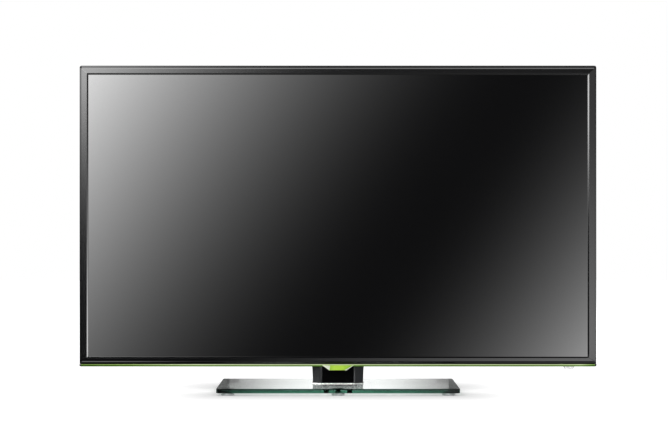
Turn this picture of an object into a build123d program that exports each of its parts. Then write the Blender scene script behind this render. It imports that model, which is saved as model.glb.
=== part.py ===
from build123d import *
import os
from math import sqrt

os.makedirs("parts", exist_ok=True)

# Picture area and the frame round it
screen_width = 931
screen_height = 525
border_side = 15.5
border_top = 16.2
border_bottom = 13.3
body_corner = 4

# Stand heights, from the floor up
foot_height = 5
glass_thickness = 8
stand_gap = 33
strip_height = 5.5

# Depths, with the front towards -Y
screen_y = -10
bezel_proud = 4
parting_y = -2
rim_depth = 6
slope_run = 8
bulge_depth = 22

# Front bezel
bezel_wall = 2
bezel_face = 2.5
bevel_width = 4
bevel_depth = 2
lower_bevel = 5.3
band_corner = 1
lip_slope = 2
cell_gap = 0.3

# Trim under the bezel
strip_depth = 6
strip_proud = 1
strip_round = 2.2
cap_length = 3
cap_corner = 2.5
badge_top_width = 60.5
badge_bottom_width = 31.5
badge_height = 10.3
badge_proud = 3.5
badge_side_facet = 4.5
badge_edge_facet = 1.5
badge_rim = 0.3
badge_below_top = 2.6
badge_boss_width = 26
badge_boss_depth = 5
lens_from_end = 51
lens_width = 20.5
lens_thickness = 5
lens_drop = 5
lens_flange = 2
lens_flange_height = 1.5
lens_round = 1.5
lens_setback = 1

# LCD module
cell_overlap = 6
cell_thickness = 1.6
window_margin = 1
module_overlap = 10.5
shelf_thickness = 1.2
frame_skirt = 1.2
film_count = 3
film_thickness = 0.25
guide_thickness = 3
reflector_thickness = 0.3
pan_wall = 0.8
pan_margin = 3
led_bar_margin = 14
led_bar_thickness = 1.2
led_bar_width = 4
led_count = 30
led_length = 5
led_width = 2.4
led_height = 1
layer_clearance = 0.1
bead_length = 150
bead_pitch = 110
bead_width = 16
bead_height = 2

# Rear cover
cover_wall = 2.5
bulge_side_margin = 51
bulge_rise = 8
bulge_height = 208
tower_inset = 190
tower_height = 398
bulge_corner = 34
valley_corner = 20
bulge_edge = 3
bulge_sunk = 4
vent_width = 3
vent_length = 30
vent_pitch = 16
upper_vent_count = 26
upper_vent_above_bulge = 52
lower_vent_count = 11
lower_vent_inset = 150
lower_vent_below_top = 48
speaker_slot_width = 2.4
speaker_slot_length = 9
speaker_slot_pitch = 8
speaker_slot_count = 9

# Terminal bays, inset from the ends of the raised back and measured up from the body's bottom
terminal_bay_inset = 102
terminal_bay_width = 186
terminal_bay_top = 66
side_bay_inset = 38
side_bay_rise = 54
side_bay_height = 130
mains_bay_inset = 130
mains_bay_width = 64
mains_bay_top = 54

# Boards
board_thickness = 1.6
low_standoff = 6
high_standoff = 14.4
standoff_radius = 3.2
board_margin = 6
main_board_size = (236, 122)
power_board_size = (230, 125)
power_board_inset = 145
timing_board_size = (160, 40)
timing_board_drop = 22
source_board_size = (280, 18)
source_board_x = 160
source_board_drop = 28
ribbon_width = 22
ribbon_thickness = 0.3
ribbon_edge = 2
heat_sink_size = 44
sink_base = 2
fin_height = 10
fin_thickness = 1.2
fin_count = 8
power_height = 20
transformer_core = (30, 26)
transformer_coil = (20, 36)
transformer_step = 2
transformer_spread = 34
transformer_drop = 20
capacitor_radius = 10
capacitor_pitch = 26
capacitor_count = 4
capacitor_rise = 34
power_sink_spread = 88
power_sink_length = 70
power_sink_drop = 10
power_sink_thickness = 3
power_sink_flange = 16

# Sockets: width, height and depth
hdmi_size = (15, 6, 11.5)
hdmi_pitch = 22.5
side_hdmi_drop = 15
usb_size = (13.2, 6.2, 14)
usb_pitch = 24
usb_drop = 39.6
lan_size = (16, 13.6, 18)
lan_from_end = 16
vga_size = (31, 12.4, 12)
vga_from_end = 62.5
socket_wall = 0.6
lan_wall = 2
tongue_thickness = 1
tongue_margin = 1.2
tongue_setback = 0.6
jack_outer_radius = 4.15
jack_bore_radius = 1.7
jack_length = 9
jack_body = 11
jack_gap = 2
jacks_from_end = 75
phone_rise = 22
aerial_rise = 44
socket_clearance = 0.4
inlet_size = (24, 16, 20)
inlet_recess = (17, 9)
inlet_recess_depth = 14
inlet_pin_radius = 1.2
inlet_pin_spacing = 8.6
inlet_pin_short = 1

# Speakers
speaker_size = (78, 26, 20)
speaker_inset = 58
speaker_rise = 16
speaker_corner = 3
speaker_wall = 3
driver_radius = 9
driver_depth = 2

# Keys
key_count = 7
key_pitch = 18
key_width = 9
key_height = 6
key_proud = 1
key_travel = 0.8
key_corner = 1
key_flange = 1.5
key_flange_thickness = 1.2
key_stem = 3
key_clearance = 0.3
key_inset = 42
key_board_width = 22
switch_size = 6
switch_height = 3.2
plunger_height = 1
plunger_radius = 1.6

# Screws and wall mount
screw_shank = 1.9
screw_head = 4
screw_head_height = 1.2
screw_clearance = 0.4
boss_radius = 4.5
screw_tip = 1
round_sides = 10
pin_sides = 8
screw_side_margin = 29
screw_top_margin = 21
screw_inner_x = 150
wall_mount_spacing = 200
wall_mount_middle = 290
wall_post_radius = 7.5
wall_thread_radius = 3
wall_thread_depth = 16

# Neck and stand
neck_top_width = 96.5
neck_bottom_width = 93.7
neck_depth = 36
neck_front = -5
neck_facet_width = 14.5
neck_facet_depth = 8
neck_rear_corner = 3
neck_wall = 2.5
neck_split = 8
neck_rear_rise = 32
neck_window = 59
neck_window_slope = 2.5
neck_top_gap = 1
neck_panel_overlap = 2
neck_panel_thickness = 2
foot_plate_thickness = 2.2
foot_plate_margin = 1
bracket_flange = 5
bracket_plate = 3
bracket_width = 76
bracket_top = 165
receiver_wall = 2
receiver_width = 92
receiver_flange = 18
receiver_depth = 20
receiver_bottom = 88
stand_screw_x = 28
stand_screw_pitch = 48
stand_screw_shank = 2.5
stand_screw_head = 4.5
stand_screw_head_height = 3.5
well_radius = 6
base_width = 442
base_depth = 204
base_corner = 5
base_chamfer = 0.6
bush_radius = 4.7
base_screw_radius = 3
base_screw_pitch = 21.5
base_screw_head = 5.5
base_screw_head_height = 2.2
clamp_plate_thickness = 2
clamp_plate_size = (70, 32)
foot_radius = 12
foot_inset_x = 20
foot_inset_y = 16
foot_chamfer = 0.8
foot_sides = 16
fit_clearance = 0.1
overcut = 1
bay_overcut = 5

# Heights and widths that follow from them
glass_top = foot_height + glass_thickness
body_bottom = glass_top + stand_gap
bezel_bottom = body_bottom + strip_height
opening_bottom = bezel_bottom + border_bottom
opening_top = opening_bottom + screen_height
body_top = opening_top + border_top
body_width = screen_width + 2 * border_side
body_height = body_top - body_bottom
body_middle = (body_top + body_bottom) / 2
bezel_height = body_top - bezel_bottom
bezel_middle = (body_top + bezel_bottom) / 2
screen_middle = (opening_bottom + opening_top) / 2

# Depths that follow from them
bezel_front = screen_y - bezel_proud
bevel_back = bezel_front + bevel_depth
face_back = bezel_front + bezel_face
strip_front = bezel_front - strip_proud
strip_back = strip_front + strip_depth
rim_back = parting_y + rim_depth
slim_back = rim_back + slope_run
bulge_back = slim_back + bulge_depth
cover_inside = bulge_back - cover_wall

cell_back = screen_y + cell_thickness
shelf_back = cell_back + shelf_thickness
film_pitch = film_thickness + layer_clearance / 2
guide_front = shelf_back + layer_clearance + film_count * film_pitch
guide_back = guide_front + guide_thickness
reflector_front = guide_back + layer_clearance
reflector_back = reflector_front + reflector_thickness
pan_floor = reflector_back + layer_clearance
pan_back = pan_floor + pan_wall

module_width = screen_width + 2 * module_overlap
module_height = screen_height + 2 * module_overlap
pan_width = module_width - 2 * (frame_skirt + layer_clearance)
pan_height = module_height - 2 * (frame_skirt + layer_clearance)
pan_bottom = screen_middle - pan_height / 2 + pan_wall
pan_top = screen_middle + pan_height / 2 - pan_wall

bulge_half_width = body_width / 2 - bulge_side_margin
tower_half_width = bulge_half_width - tower_inset
bulge_bottom = body_bottom + bulge_rise
bulge_top = bulge_bottom + bulge_height
tower_top = bulge_bottom + tower_height
terminal_bay_start = -bulge_half_width + terminal_bay_inset
terminal_bay_x = (terminal_bay_start, terminal_bay_start + terminal_bay_width)
mains_bay_end = bulge_half_width - mains_bay_inset
mains_bay_x = (mains_bay_end - mains_bay_width, mains_bay_end)
side_bay_x = -bulge_half_width + side_bay_inset
terminal_ceiling = body_bottom + terminal_bay_top
mains_ceiling = body_bottom + mains_bay_top
side_bay_bottom = body_bottom + side_bay_rise
side_bay_top = side_bay_bottom + side_bay_height
lower_vent_x = bulge_half_width - lower_vent_inset
power_board_x = bulge_half_width - power_board_inset
speaker_x = bulge_half_width - speaker_inset
key_x = bulge_half_width - key_inset
lens_x = body_width / 2 - lens_from_end

neck_back = neck_front + neck_depth
neck_middle = (neck_front + neck_back) / 2
neck_bottom = glass_top + foot_plate_thickness
neck_front_top = bezel_bottom - neck_top_gap
neck_rear_top = body_bottom + neck_rear_rise
receiver_back = pan_back + receiver_depth
bracket_front = receiver_back + fit_clearance
bracket_back = bracket_front + bracket_plate
stand_screw_low = receiver_bottom + (bracket_top - receiver_bottom - stand_screw_pitch) / 2


def screen_plane(y):
    """Plane parallel to the screen, seen from the front, that extrudes forwards."""
    return Plane(origin=(0, y, 0), x_dir=(1, 0, 0), z_dir=(0, -1, 0))


def rear_plane(y):
    """Plane parallel to the screen, seen from behind, that extrudes backwards."""
    return Plane(origin=(0, y, 0), x_dir=(-1, 0, 0), z_dir=(0, 1, 0))


def block(x_span, y_span, z_span, mode=Mode.ADD):
    """Box between two values on each axis."""
    spans = (x_span, y_span, z_span)
    with Locations(tuple((low + high) / 2 for low, high in spans)):
        Box(*(high - low for low, high in spans), mode=mode)


def screen_block(width, height, y_span, mode=Mode.ADD):
    """Box of the given width and height round the middle of the screen."""
    low = screen_middle - height / 2
    block((-width / 2, width / 2), y_span, (low, low + height), mode)


def prisms(plane, places, radius, sides, depth, mode=Mode.ADD):
    """Pins or holes of one size with the given number of sides, extruded from a plane."""
    with BuildSketch(plane) as outline:
        with Locations(*places):
            RegularPolygon(radius, sides)
    extrude(outline.sketch, amount=depth, mode=mode)


def finish(name, piece):
    """Label a finished sub-part and write it."""
    piece.part.label = name
    export_step(piece.part, f"parts/{name}.step")


# Front bezel: walls, a flat bevel all round, a flat band, and a slope down to the screen
with BuildPart() as front_bezel:
    with BuildSketch(screen_plane(parting_y)):
        with Locations((0, bezel_middle)):
            RectangleRounded(body_width, bezel_height, body_corner)
    extrude(amount=parting_y - bevel_back)
    with BuildSketch(screen_plane(bevel_back)):
        with Locations((0, bezel_middle)):
            RectangleRounded(body_width, bezel_height, body_corner)
    with BuildSketch(screen_plane(bezel_front)):
        with Locations((0, bezel_middle + (lower_bevel - bevel_width) / 2)):
            RectangleRounded(
                body_width - 2 * bevel_width,
                bezel_height - bevel_width - lower_bevel,
                band_corner,
            )
    loft(ruled=True)
    block(
        (-body_width / 2 + bezel_wall, body_width / 2 - bezel_wall),
        (face_back, parting_y + overcut),
        (bezel_bottom + bezel_wall, body_top - bezel_wall),
        Mode.SUBTRACT,
    )
    lip_width = screen_width + 2 * lip_slope
    lip_height = screen_height + 2 * lip_slope
    screen_block(lip_width, lip_height, (face_back, screen_y - cell_gap))
    screen_block(
        screen_width,
        screen_height,
        (bezel_front - overcut, parting_y + overcut),
        Mode.SUBTRACT,
    )
    with BuildSketch(screen_plane(bezel_front)):
        with Locations((0, screen_middle)):
            Rectangle(lip_width, lip_height)
    with BuildSketch(screen_plane(bezel_front + lip_slope)):
        with Locations((0, screen_middle)):
            Rectangle(screen_width, screen_height)
    loft(ruled=True, mode=Mode.SUBTRACT)
finish("front_bezel", front_bezel)

# Green trim strip under the bezel and its two end caps
strip_half = body_width / 2 - cap_length
with BuildPart() as bottom_trim_strip:
    block((-strip_half, strip_half), (strip_front, strip_back), (body_bottom, bezel_bottom))
    front_edges = bottom_trim_strip.faces().sort_by(Axis.Y)[0].edges().filter_by(Axis.X)
    fillet(front_edges, strip_round)
finish("bottom_trim_strip", bottom_trim_strip)

with BuildPart() as trim_end_caps:
    for side in (-1, 1):
        inner = side * strip_half
        outer = side * body_width / 2
        block(sorted((inner, outer)), (strip_front, strip_back), (body_bottom, bezel_bottom))
    outer_edges = trim_end_caps.edges().filter_by(Axis.Y).group_by(Axis.Z)[0]
    fillet([outer_edges.sort_by(Axis.X)[0], outer_edges.sort_by(Axis.X)[-1]], cap_corner)
    cap_front = trim_end_caps.faces().filter_by(Axis.Y).group_by(Axis.Y)[0].edges()
    fillet(cap_front.filter_by(Axis.X).group_by(Axis.Z)[-1], strip_round)
finish("trim_end_caps", trim_end_caps)

# Faceted badge on the strip, with a boss that reaches back under it
badge_top = bezel_bottom - badge_below_top
badge_middle = badge_top - badge_height / 2
badge_corners = (
    (-badge_top_width / 2, badge_height / 2),
    (badge_top_width / 2, badge_height / 2),
    (badge_bottom_width / 2, -badge_height / 2),
    (-badge_bottom_width / 2, -badge_height / 2),
)
with BuildPart() as trim_badge:
    with BuildSketch(screen_plane(strip_front)):
        with Locations((0, badge_middle)):
            Polygon(*badge_corners, align=None)
    extrude(amount=badge_proud)
    face = trim_badge.faces().sort_by(Axis.Y)[0]
    side_edges = face.edges() - face.edges().filter_by(Axis.X)
    chamfer(side_edges, badge_side_facet, badge_proud - badge_rim, reference=face)
    face = trim_badge.faces().sort_by(Axis.Y)[0]
    level_edges = face.edges().filter_by(Axis.X)
    chamfer(level_edges, badge_edge_facet, badge_proud / 2, reference=face)
    block(
        (-badge_boss_width / 2, badge_boss_width / 2),
        (strip_front, strip_front + badge_boss_depth),
        (badge_top - badge_height, body_bottom),
    )
finish("trim_badge", trim_badge)

# Clear indicator lens that hangs through the cover's bottom wall
lens_front = strip_back + lens_setback
lens_back = lens_front + lens_thickness
lens_span = (lens_x - lens_width / 2, lens_x + lens_width / 2)
lens_seat = body_bottom + cover_wall + fit_clearance
lens_top = lens_seat + lens_flange_height
with BuildPart() as indicator_lens:
    block(lens_span, (lens_front, lens_back), (body_bottom - lens_drop, lens_top))
    fillet(indicator_lens.edges().filter_by(Axis.Y).group_by(Axis.Z)[0], lens_round)
    block(
        (lens_span[0] - lens_flange, lens_span[1] + lens_flange),
        (lens_front, lens_back),
        (lens_seat, lens_top),
    )
finish("indicator_lens", indicator_lens)

ir_board_front = pan_back + layer_clearance
with BuildPart() as receiver_board:
    block(
        (lens_span[0] - lens_flange, lens_span[1] + lens_flange),
        (ir_board_front, ir_board_front + board_thickness),
        (lens_seat, lens_seat + lens_width),
    )
    block(
        (lens_x - led_length, lens_x + led_length),
        (lens_back + fit_clearance, ir_board_front),
        (lens_seat, lens_top),
    )
finish("receiver_board", receiver_board)

# LCD module: cell, moulded frame, films, light guide, reflector, light bar and pan
with BuildPart() as lcd_panel:
    screen_block(
        screen_width + 2 * cell_overlap,
        screen_height + 2 * cell_overlap,
        (screen_y, cell_back),
    )
finish("lcd_panel", lcd_panel)

with BuildPart() as panel_guide_frame:
    screen_block(module_width, module_height, (screen_y, pan_floor))
    screen_block(
        screen_width + 2 * (cell_overlap + layer_clearance),
        screen_height + 2 * (cell_overlap + layer_clearance),
        (screen_y - overcut, cell_back),
        Mode.SUBTRACT,
    )
    screen_block(
        screen_width + 2 * window_margin,
        screen_height + 2 * window_margin,
        (screen_y, shelf_back),
        Mode.SUBTRACT,
    )
    screen_block(
        module_width - 2 * frame_skirt,
        module_height - 2 * frame_skirt,
        (shelf_back, pan_floor + overcut),
        Mode.SUBTRACT,
    )
finish("panel_guide_frame", panel_guide_frame)

led_bar_length = pan_width - 2 * (pan_wall + led_bar_margin)
led_bar_bottom = pan_bottom + layer_clearance
led_bar_top = led_bar_bottom + led_bar_thickness
led_top = led_bar_top + led_height
light_middle_y = (guide_front + guide_back) / 2
with BuildPart() as led_bar:
    block(
        (-led_bar_length / 2, led_bar_length / 2),
        (light_middle_y - led_bar_width / 2, light_middle_y + led_bar_width / 2),
        (led_bar_bottom, led_bar_top),
    )
finish("led_bar", led_bar)

with BuildPart() as led_packages:
    with Locations((0, light_middle_y, (led_bar_top + led_top) / 2)):
        with GridLocations(led_bar_length / led_count, 0, led_count, 1):
            Box(led_length, led_width, led_height)
finish("led_packages", led_packages)

sheet_half = pan_width / 2 - pan_wall - pan_margin
sheet_bottom = led_top + fit_clearance
sheet_top = pan_top - pan_margin
with BuildPart() as optical_films:
    for layer in range(film_count):
        film_front = shelf_back + layer_clearance + layer * film_pitch
        block(
            (-sheet_half, sheet_half),
            (film_front, film_front + film_thickness),
            (sheet_bottom, sheet_top),
        )
finish("optical_films", optical_films)

with BuildPart() as light_guide_plate:
    block((-sheet_half, sheet_half), (guide_front, guide_back), (sheet_bottom, sheet_top))
finish("light_guide_plate", light_guide_plate)

with BuildPart() as reflector_sheet:
    block((-sheet_half, sheet_half), (reflector_front, reflector_back), (sheet_bottom, sheet_top))
finish("reflector_sheet", reflector_sheet)

# Places of the boards, each as X span and Z span
main_board_x = (side_bay_x + board_margin, side_bay_x + board_margin + main_board_size[0])
main_board_z = (terminal_ceiling + board_margin, terminal_ceiling + board_margin + main_board_size[1])
power_x = (power_board_x - power_board_size[0] / 2, power_board_x + power_board_size[0] / 2)
power_z = (
    mains_ceiling + cover_wall + 2 * board_margin,
    mains_ceiling + cover_wall + 2 * board_margin + power_board_size[1],
)
timing_x = (-timing_board_size[0] / 2, timing_board_size[0] / 2)
timing_z = (
    tower_top - timing_board_drop - timing_board_size[1],
    tower_top - timing_board_drop,
)
high_board_front = pan_back + high_standoff
high_board_back = high_board_front + board_thickness
low_board_front = pan_back + low_standoff
low_board_back = low_board_front + board_thickness


def corner_places(x_span, z_span, inset):
    """The four corners of a board, drawn in by inset."""
    return [
        (x, z)
        for x in (x_span[0] + inset, x_span[1] - inset)
        for z in (z_span[0] + inset, z_span[1] - inset)
    ]


# Rear pan with its stiffening beads, board standoffs and hollow bosses for the cover's screws
bead_x = (bulge_half_width + tower_half_width) / 2
screw_x = body_width / 2 - screw_side_margin
screw_high = body_top - screw_top_margin
screw_low = bulge_bottom + bulge_rise
screw_heights = (screw_low, body_middle, screw_high)
screw_places = [(side * screw_x, z) for side in (-1, 1) for z in screw_heights]
screw_places += [(side * screw_inner_x, screw_high) for side in (-1, 1)]
slim_inside = slim_back - cover_wall
boss_back = slim_inside - fit_clearance

with BuildPart() as rear_pan:
    screen_block(pan_width, pan_height, (shelf_back + layer_clearance, pan_back))
    screen_block(
        pan_width - 2 * pan_wall,
        pan_height - 2 * pan_wall,
        (shelf_back, pan_floor),
        Mode.SUBTRACT,
    )
    with BuildSketch(rear_plane(pan_back)) as rear_pan_beads:
        with Locations((0, screen_middle + bead_pitch)):
            with GridLocations(2 * bead_x, bead_pitch, 2, 2):
                Rectangle(bead_length, bead_width)
        chamfer(rear_pan_beads.vertices(), bead_width / 4)
    extrude(amount=bead_height, taper=30)
    high_corners = corner_places(main_board_x, main_board_z, board_margin)
    high_corners += corner_places(timing_x, timing_z, board_margin)
    low_corners = corner_places(power_x, power_z, board_margin)
    prisms(screen_plane(high_board_front), high_corners, standoff_radius, 6, high_standoff)
    prisms(screen_plane(low_board_front), low_corners, standoff_radius, 6, low_standoff)
    boss_length = boss_back - pan_back
    screw_hole = screw_shank + fit_clearance
    prisms(screen_plane(boss_back), screw_places, boss_radius, pin_sides, boss_length)
    prisms(screen_plane(boss_back), screw_places, screw_hole, pin_sides, boss_length, Mode.SUBTRACT)
finish("rear_pan", rear_pan)


# Places of the sockets: those of the lower bay open downwards, those of the side bay sideways
def down_socket(x, height):
    """Place of a socket on the main board whose mouth is flush with the lower bay's ceiling."""
    return Location((x, high_board_back + height / 2, terminal_ceiling))


def side_socket(z, height):
    """Place of a socket on the main board whose mouth is flush with the side bay's wall."""
    return Location((side_bay_x, high_board_back + height / 2, z), (0, 90, 0))


hdmi_places = [
    down_socket(terminal_bay_x[1] - hdmi_pitch, hdmi_size[1]),
    down_socket(terminal_bay_x[1] - 2 * hdmi_pitch, hdmi_size[1]),
    side_socket(side_bay_top - side_hdmi_drop, hdmi_size[1]),
]
usb_top = side_bay_top - usb_drop
usb_places = [side_socket(usb_top - step * usb_pitch, usb_size[1]) for step in (0, 1)]
vga_places = [down_socket(terminal_bay_x[0] + vga_from_end, vga_size[1])]
lan_places = [down_socket(terminal_bay_x[0] + lan_from_end, lan_size[1])]
jack_x = terminal_bay_x[1] - jacks_from_end
jack_places = [down_socket(jack_x - step * (jack_body + jack_gap), jack_body) for step in range(3)]
phone_places = [side_socket(side_bay_bottom + phone_rise, jack_body)]
aerial_places = [side_socket(side_bay_bottom + aerial_rise, jack_body)]
inlet_place = Location((sum(mains_bay_x) / 2, (slim_back + cover_inside) / 2, mains_ceiling))
flat_sockets = (
    (hdmi_places, hdmi_size),
    (usb_places, usb_size),
    (vga_places, vga_size),
    (lan_places, lan_size),
    ([inlet_place], inlet_size),
)

# Rows of keys on the back, and the bays for the plugs
lowest_key = bulge_bottom + bulge_height / 2 - (key_count - 1) / 2 * key_pitch
key_z = [lowest_key + step * key_pitch for step in range(key_count)]
key_places = [(key_x, z) for z in key_z]
bays = (
    (terminal_bay_x, (body_bottom - bay_overcut, terminal_ceiling)),
    ((-body_width / 2 + overcut, side_bay_x), (side_bay_bottom, side_bay_top)),
    (mains_bay_x, (body_bottom - bay_overcut, mains_ceiling)),
)


def cover_form(inset, edge):
    """Solid form of the rear cover's outside or, with an inset, of the hollow in it."""
    miter = inset * (sqrt(2) - 1)
    slim = slim_back - inset
    sunk = slim - bulge_sunk
    wide = bulge_half_width - miter
    narrow = tower_half_width - miter
    low = bulge_bottom + miter
    shoulder = bulge_top - miter
    high = tower_top - miter
    convex = bulge_corner - miter
    concave = valley_corner + miter
    with BuildPart() as form:
        with BuildSketch(rear_plane(sunk)):
            with BuildLine():
                FilletPolyline(
                    (-wide, low),
                    (wide, low),
                    (wide, shoulder),
                    (narrow, shoulder),
                    (narrow, high),
                    (-narrow, high),
                    (-narrow, shoulder),
                    (-wide, shoulder),
                    radius=[convex, convex, convex, concave, convex, convex, concave, convex],
                    close=True,
                )
            make_face()
        extrude(amount=bulge_depth + bulge_sunk)
        chamfer(form.faces().sort_by(Axis.Y)[-1].edges(), bulge_depth)
        if edge:
            chamfer(form.faces().sort_by(Axis.Y)[-1].edges(), edge)
        with BuildSketch(screen_plane(rim_back - miter)) as rim:
            with Locations((0, body_middle)):
                RectangleRounded(body_width - 2 * inset, body_height - 2 * inset, body_corner - miter)
        extrude(amount=rim_back - miter - parting_y + inset)
        with BuildSketch(screen_plane(slim)) as slope:
            with Locations((0, body_middle)):
                RectangleRounded(
                    body_width - 2 * slope_run - 2 * miter,
                    body_height - 2 * slope_run - 2 * miter,
                    body_corner - miter,
                )
        loft(sections=[rim.sketch, slope.sketch], ruled=True)
        for x_span, z_span in bays:
            block(
                (x_span[0] - inset, x_span[1] + inset),
                (slim, bulge_back + bay_overcut),
                (z_span[0] - inset, z_span[1] + inset),
                Mode.SUBTRACT,
            )
    return form.part


cover_outside = cover_form(0, bulge_edge)
cover_hollow = cover_form(cover_wall, 0)
cover_front = strip_back + fit_clearance
neck_gap = socket_clearance
well_places = [
    (side * stand_screw_x, stand_screw_low + step * stand_screw_pitch)
    for side in (-1, 1)
    for step in (0, 1)
]
well_front = bracket_back + stand_screw_head_height
wall_mount_places = [
    (side * wall_mount_spacing / 2, wall_mount_middle + rise * wall_mount_spacing / 2)
    for side in (-1, 1)
    for rise in (-1, 1)
]

# Rear cover: one moulded shell with bays, vents, wells and holes
with BuildPart() as rear_cover:
    add(cover_outside)
    with BuildSketch(screen_plane(parting_y)):
        with Locations((0, body_middle)):
            RectangleRounded(body_width, body_height, body_corner)
        tray_top = bezel_bottom - fit_clearance
        with Locations((0, tray_top + body_height / 2)):
            Rectangle(body_width + 2 * overcut, body_height, mode=Mode.SUBTRACT)
    extrude(amount=parting_y - cover_front)
    add(cover_hollow, mode=Mode.SUBTRACT)
    block(
        (-body_width / 2 + cover_wall, body_width / 2 - cover_wall),
        (cover_front - overcut, parting_y),
        (body_bottom + cover_wall, bezel_bottom + overcut),
        Mode.SUBTRACT,
    )

    # Opening for the neck: through the bottom wall, and at the back up into the bulge
    block(
        (-neck_top_width / 2 - neck_gap, neck_top_width / 2 + neck_gap),
        (neck_front - neck_gap, neck_front + neck_split),
        (body_bottom - overcut, neck_front_top + neck_gap),
        Mode.SUBTRACT,
    )
    block(
        (-neck_top_width / 2 - neck_gap, neck_top_width / 2 + neck_gap),
        (neck_front + neck_split - overcut, neck_back + neck_gap),
        (body_bottom - overcut, neck_rear_top),
        Mode.SUBTRACT,
    )

    # Slot for the lens
    block(
        (lens_span[0] - fit_clearance, lens_span[1] + fit_clearance),
        (lens_front - fit_clearance, lens_back + fit_clearance),
        (body_bottom - overcut, body_bottom + cover_wall + overcut),
        Mode.SUBTRACT,
    )

    # Vents high on the slim part and low on the bulge
    with BuildSketch(rear_plane(slim_back)):
        with Locations((0, tower_top + upper_vent_above_bulge)):
            with GridLocations(vent_pitch, 0, upper_vent_count, 1):
                Rectangle(vent_width, vent_length)
    extrude(amount=-2 * cover_wall, mode=Mode.SUBTRACT)
    with BuildSketch(rear_plane(bulge_back)):
        for side in (-1, 1):
            with Locations((side * lower_vent_x, bulge_top - lower_vent_below_top)):
                with GridLocations(vent_pitch, 0, lower_vent_count, 1):
                    Rectangle(vent_width, vent_length)
    extrude(amount=-2 * cover_wall, mode=Mode.SUBTRACT)

    # Sound slots in the bottom wall under each speaker
    with BuildSketch(Plane.XY.offset(body_bottom)):
        for side in (-1, 1):
            with Locations((side * speaker_x, (parting_y + rim_back) / 2)):
                with GridLocations(speaker_slot_pitch, 0, speaker_slot_count, 1):
                    Rectangle(speaker_slot_width, speaker_slot_length)
    extrude(amount=2 * cover_wall, mode=Mode.SUBTRACT)

    # Wells that lead to the stand screws
    wall_cut = overcut + 2 * cover_wall
    past_back = screen_plane(bulge_back + overcut)
    well_depth = cover_inside - well_front
    well_outside = well_radius + cover_wall
    prisms(screen_plane(cover_inside), well_places, well_outside, round_sides, well_depth)
    well_cut = bulge_back + overcut - well_front
    prisms(past_back, well_places, well_radius, round_sides, well_cut, Mode.SUBTRACT)
    post_hole = wall_post_radius + screw_clearance
    prisms(past_back, wall_mount_places, post_hole, round_sides, wall_cut, Mode.SUBTRACT)

    # Counterbored holes for the cover's screws
    past_slim = screen_plane(slim_back + overcut)
    head_cut = overcut + screw_head_height
    shank_hole = screw_shank + screw_clearance
    head_hole = screw_head + screw_clearance
    prisms(past_slim, screw_places, shank_hole, pin_sides, wall_cut, Mode.SUBTRACT)
    prisms(past_slim, screw_places, head_hole, round_sides, head_cut, Mode.SUBTRACT)

    # Holes for the sockets and the keys
    for places, size in flat_sockets:
        with Locations(*places):
            Box(
                size[0] + 2 * socket_clearance,
                size[1] + 2 * socket_clearance,
                3 * cover_wall,
                mode=Mode.SUBTRACT,
            )
    for place in (*jack_places, *phone_places, *aerial_places):
        jack_hole = jack_outer_radius + socket_clearance
        jack_plane = Plane(place).offset(-2 * cover_wall)
        prisms(jack_plane, [(0, 0)], jack_hole, round_sides, 4 * cover_wall, Mode.SUBTRACT)
    with BuildSketch(past_back):
        with Locations(*key_places):
            Rectangle(key_width + 2 * key_clearance, key_height + 2 * key_clearance)
    extrude(amount=wall_cut, mode=Mode.SUBTRACT)

    # Posts that carry the key board
    key_board_back = cover_inside - key_clearance - key_flange_thickness - key_stem
    key_board_back -= plunger_height + switch_height + key_travel
    key_board_z = (key_z[0] - key_pitch, key_z[-1] + key_pitch)
    key_post_z = (key_board_z[0] + board_margin, key_board_z[1] - board_margin)
    key_posts = [(key_x, z) for z in key_post_z]
    post_length = cover_inside - key_board_back - fit_clearance
    prisms(screen_plane(cover_inside), key_posts, standoff_radius, 6, post_length)
finish("rear_cover", rear_cover)

with BuildPart() as cover_screws:
    seat = slim_back - screw_head_height
    shank_length = seat - pan_back - screw_tip
    prisms(screen_plane(slim_back), screw_places, screw_head, round_sides, screw_head_height)
    prisms(screen_plane(seat), screw_places, screw_shank, pin_sides, shank_length)
finish("cover_screws", cover_screws)

# Wall-mount posts: steel, fixed to the pan, threaded from behind
with BuildPart() as wall_mount_posts:
    back = screen_plane(bulge_back)
    prisms(back, wall_mount_places, wall_post_radius, round_sides, bulge_back - pan_back)
    with BuildSketch(back):
        with Locations(*wall_mount_places):
            Circle(wall_thread_radius)
    extrude(amount=wall_thread_depth, mode=Mode.SUBTRACT)
finish("wall_mount_posts", wall_mount_posts)


upright = (Align.CENTER, Align.CENTER, Align.MIN)


def sockets(places, size, wall, tongue):
    """Open boxes with their mouths at the places, each with a tongue if it has one."""
    width, height, depth = size
    with BuildPart() as group:
        with Locations(*places):
            Box(width, height, depth, align=upright)
            Box(width - 2 * wall, height - 2 * wall, depth - wall, align=upright, mode=Mode.SUBTRACT)
        if tongue:
            tongue_width = width - 2 * (wall + tongue_margin)
            tongue_length = depth - tongue_setback - wall / 2
            with Locations(*places):
                with Locations((0, 0, tongue_setback)):
                    Box(tongue_width, tongue_thickness, tongue_length, align=upright)
    return group


def jacks(places):
    """Round jacks with a bored barrel in front of a square body."""
    with BuildPart() as group:
        for place in places:
            mouth = Plane(place)
            prisms(mouth, [(0, 0)], jack_outer_radius, round_sides, jack_length)
            with BuildSketch(mouth.offset(cover_wall + fit_clearance)):
                Rectangle(jack_body, jack_body)
            extrude(amount=jack_length)
            prisms(mouth, [(0, 0)], jack_bore_radius, pin_sides, jack_length, Mode.SUBTRACT)
    return group


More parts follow.
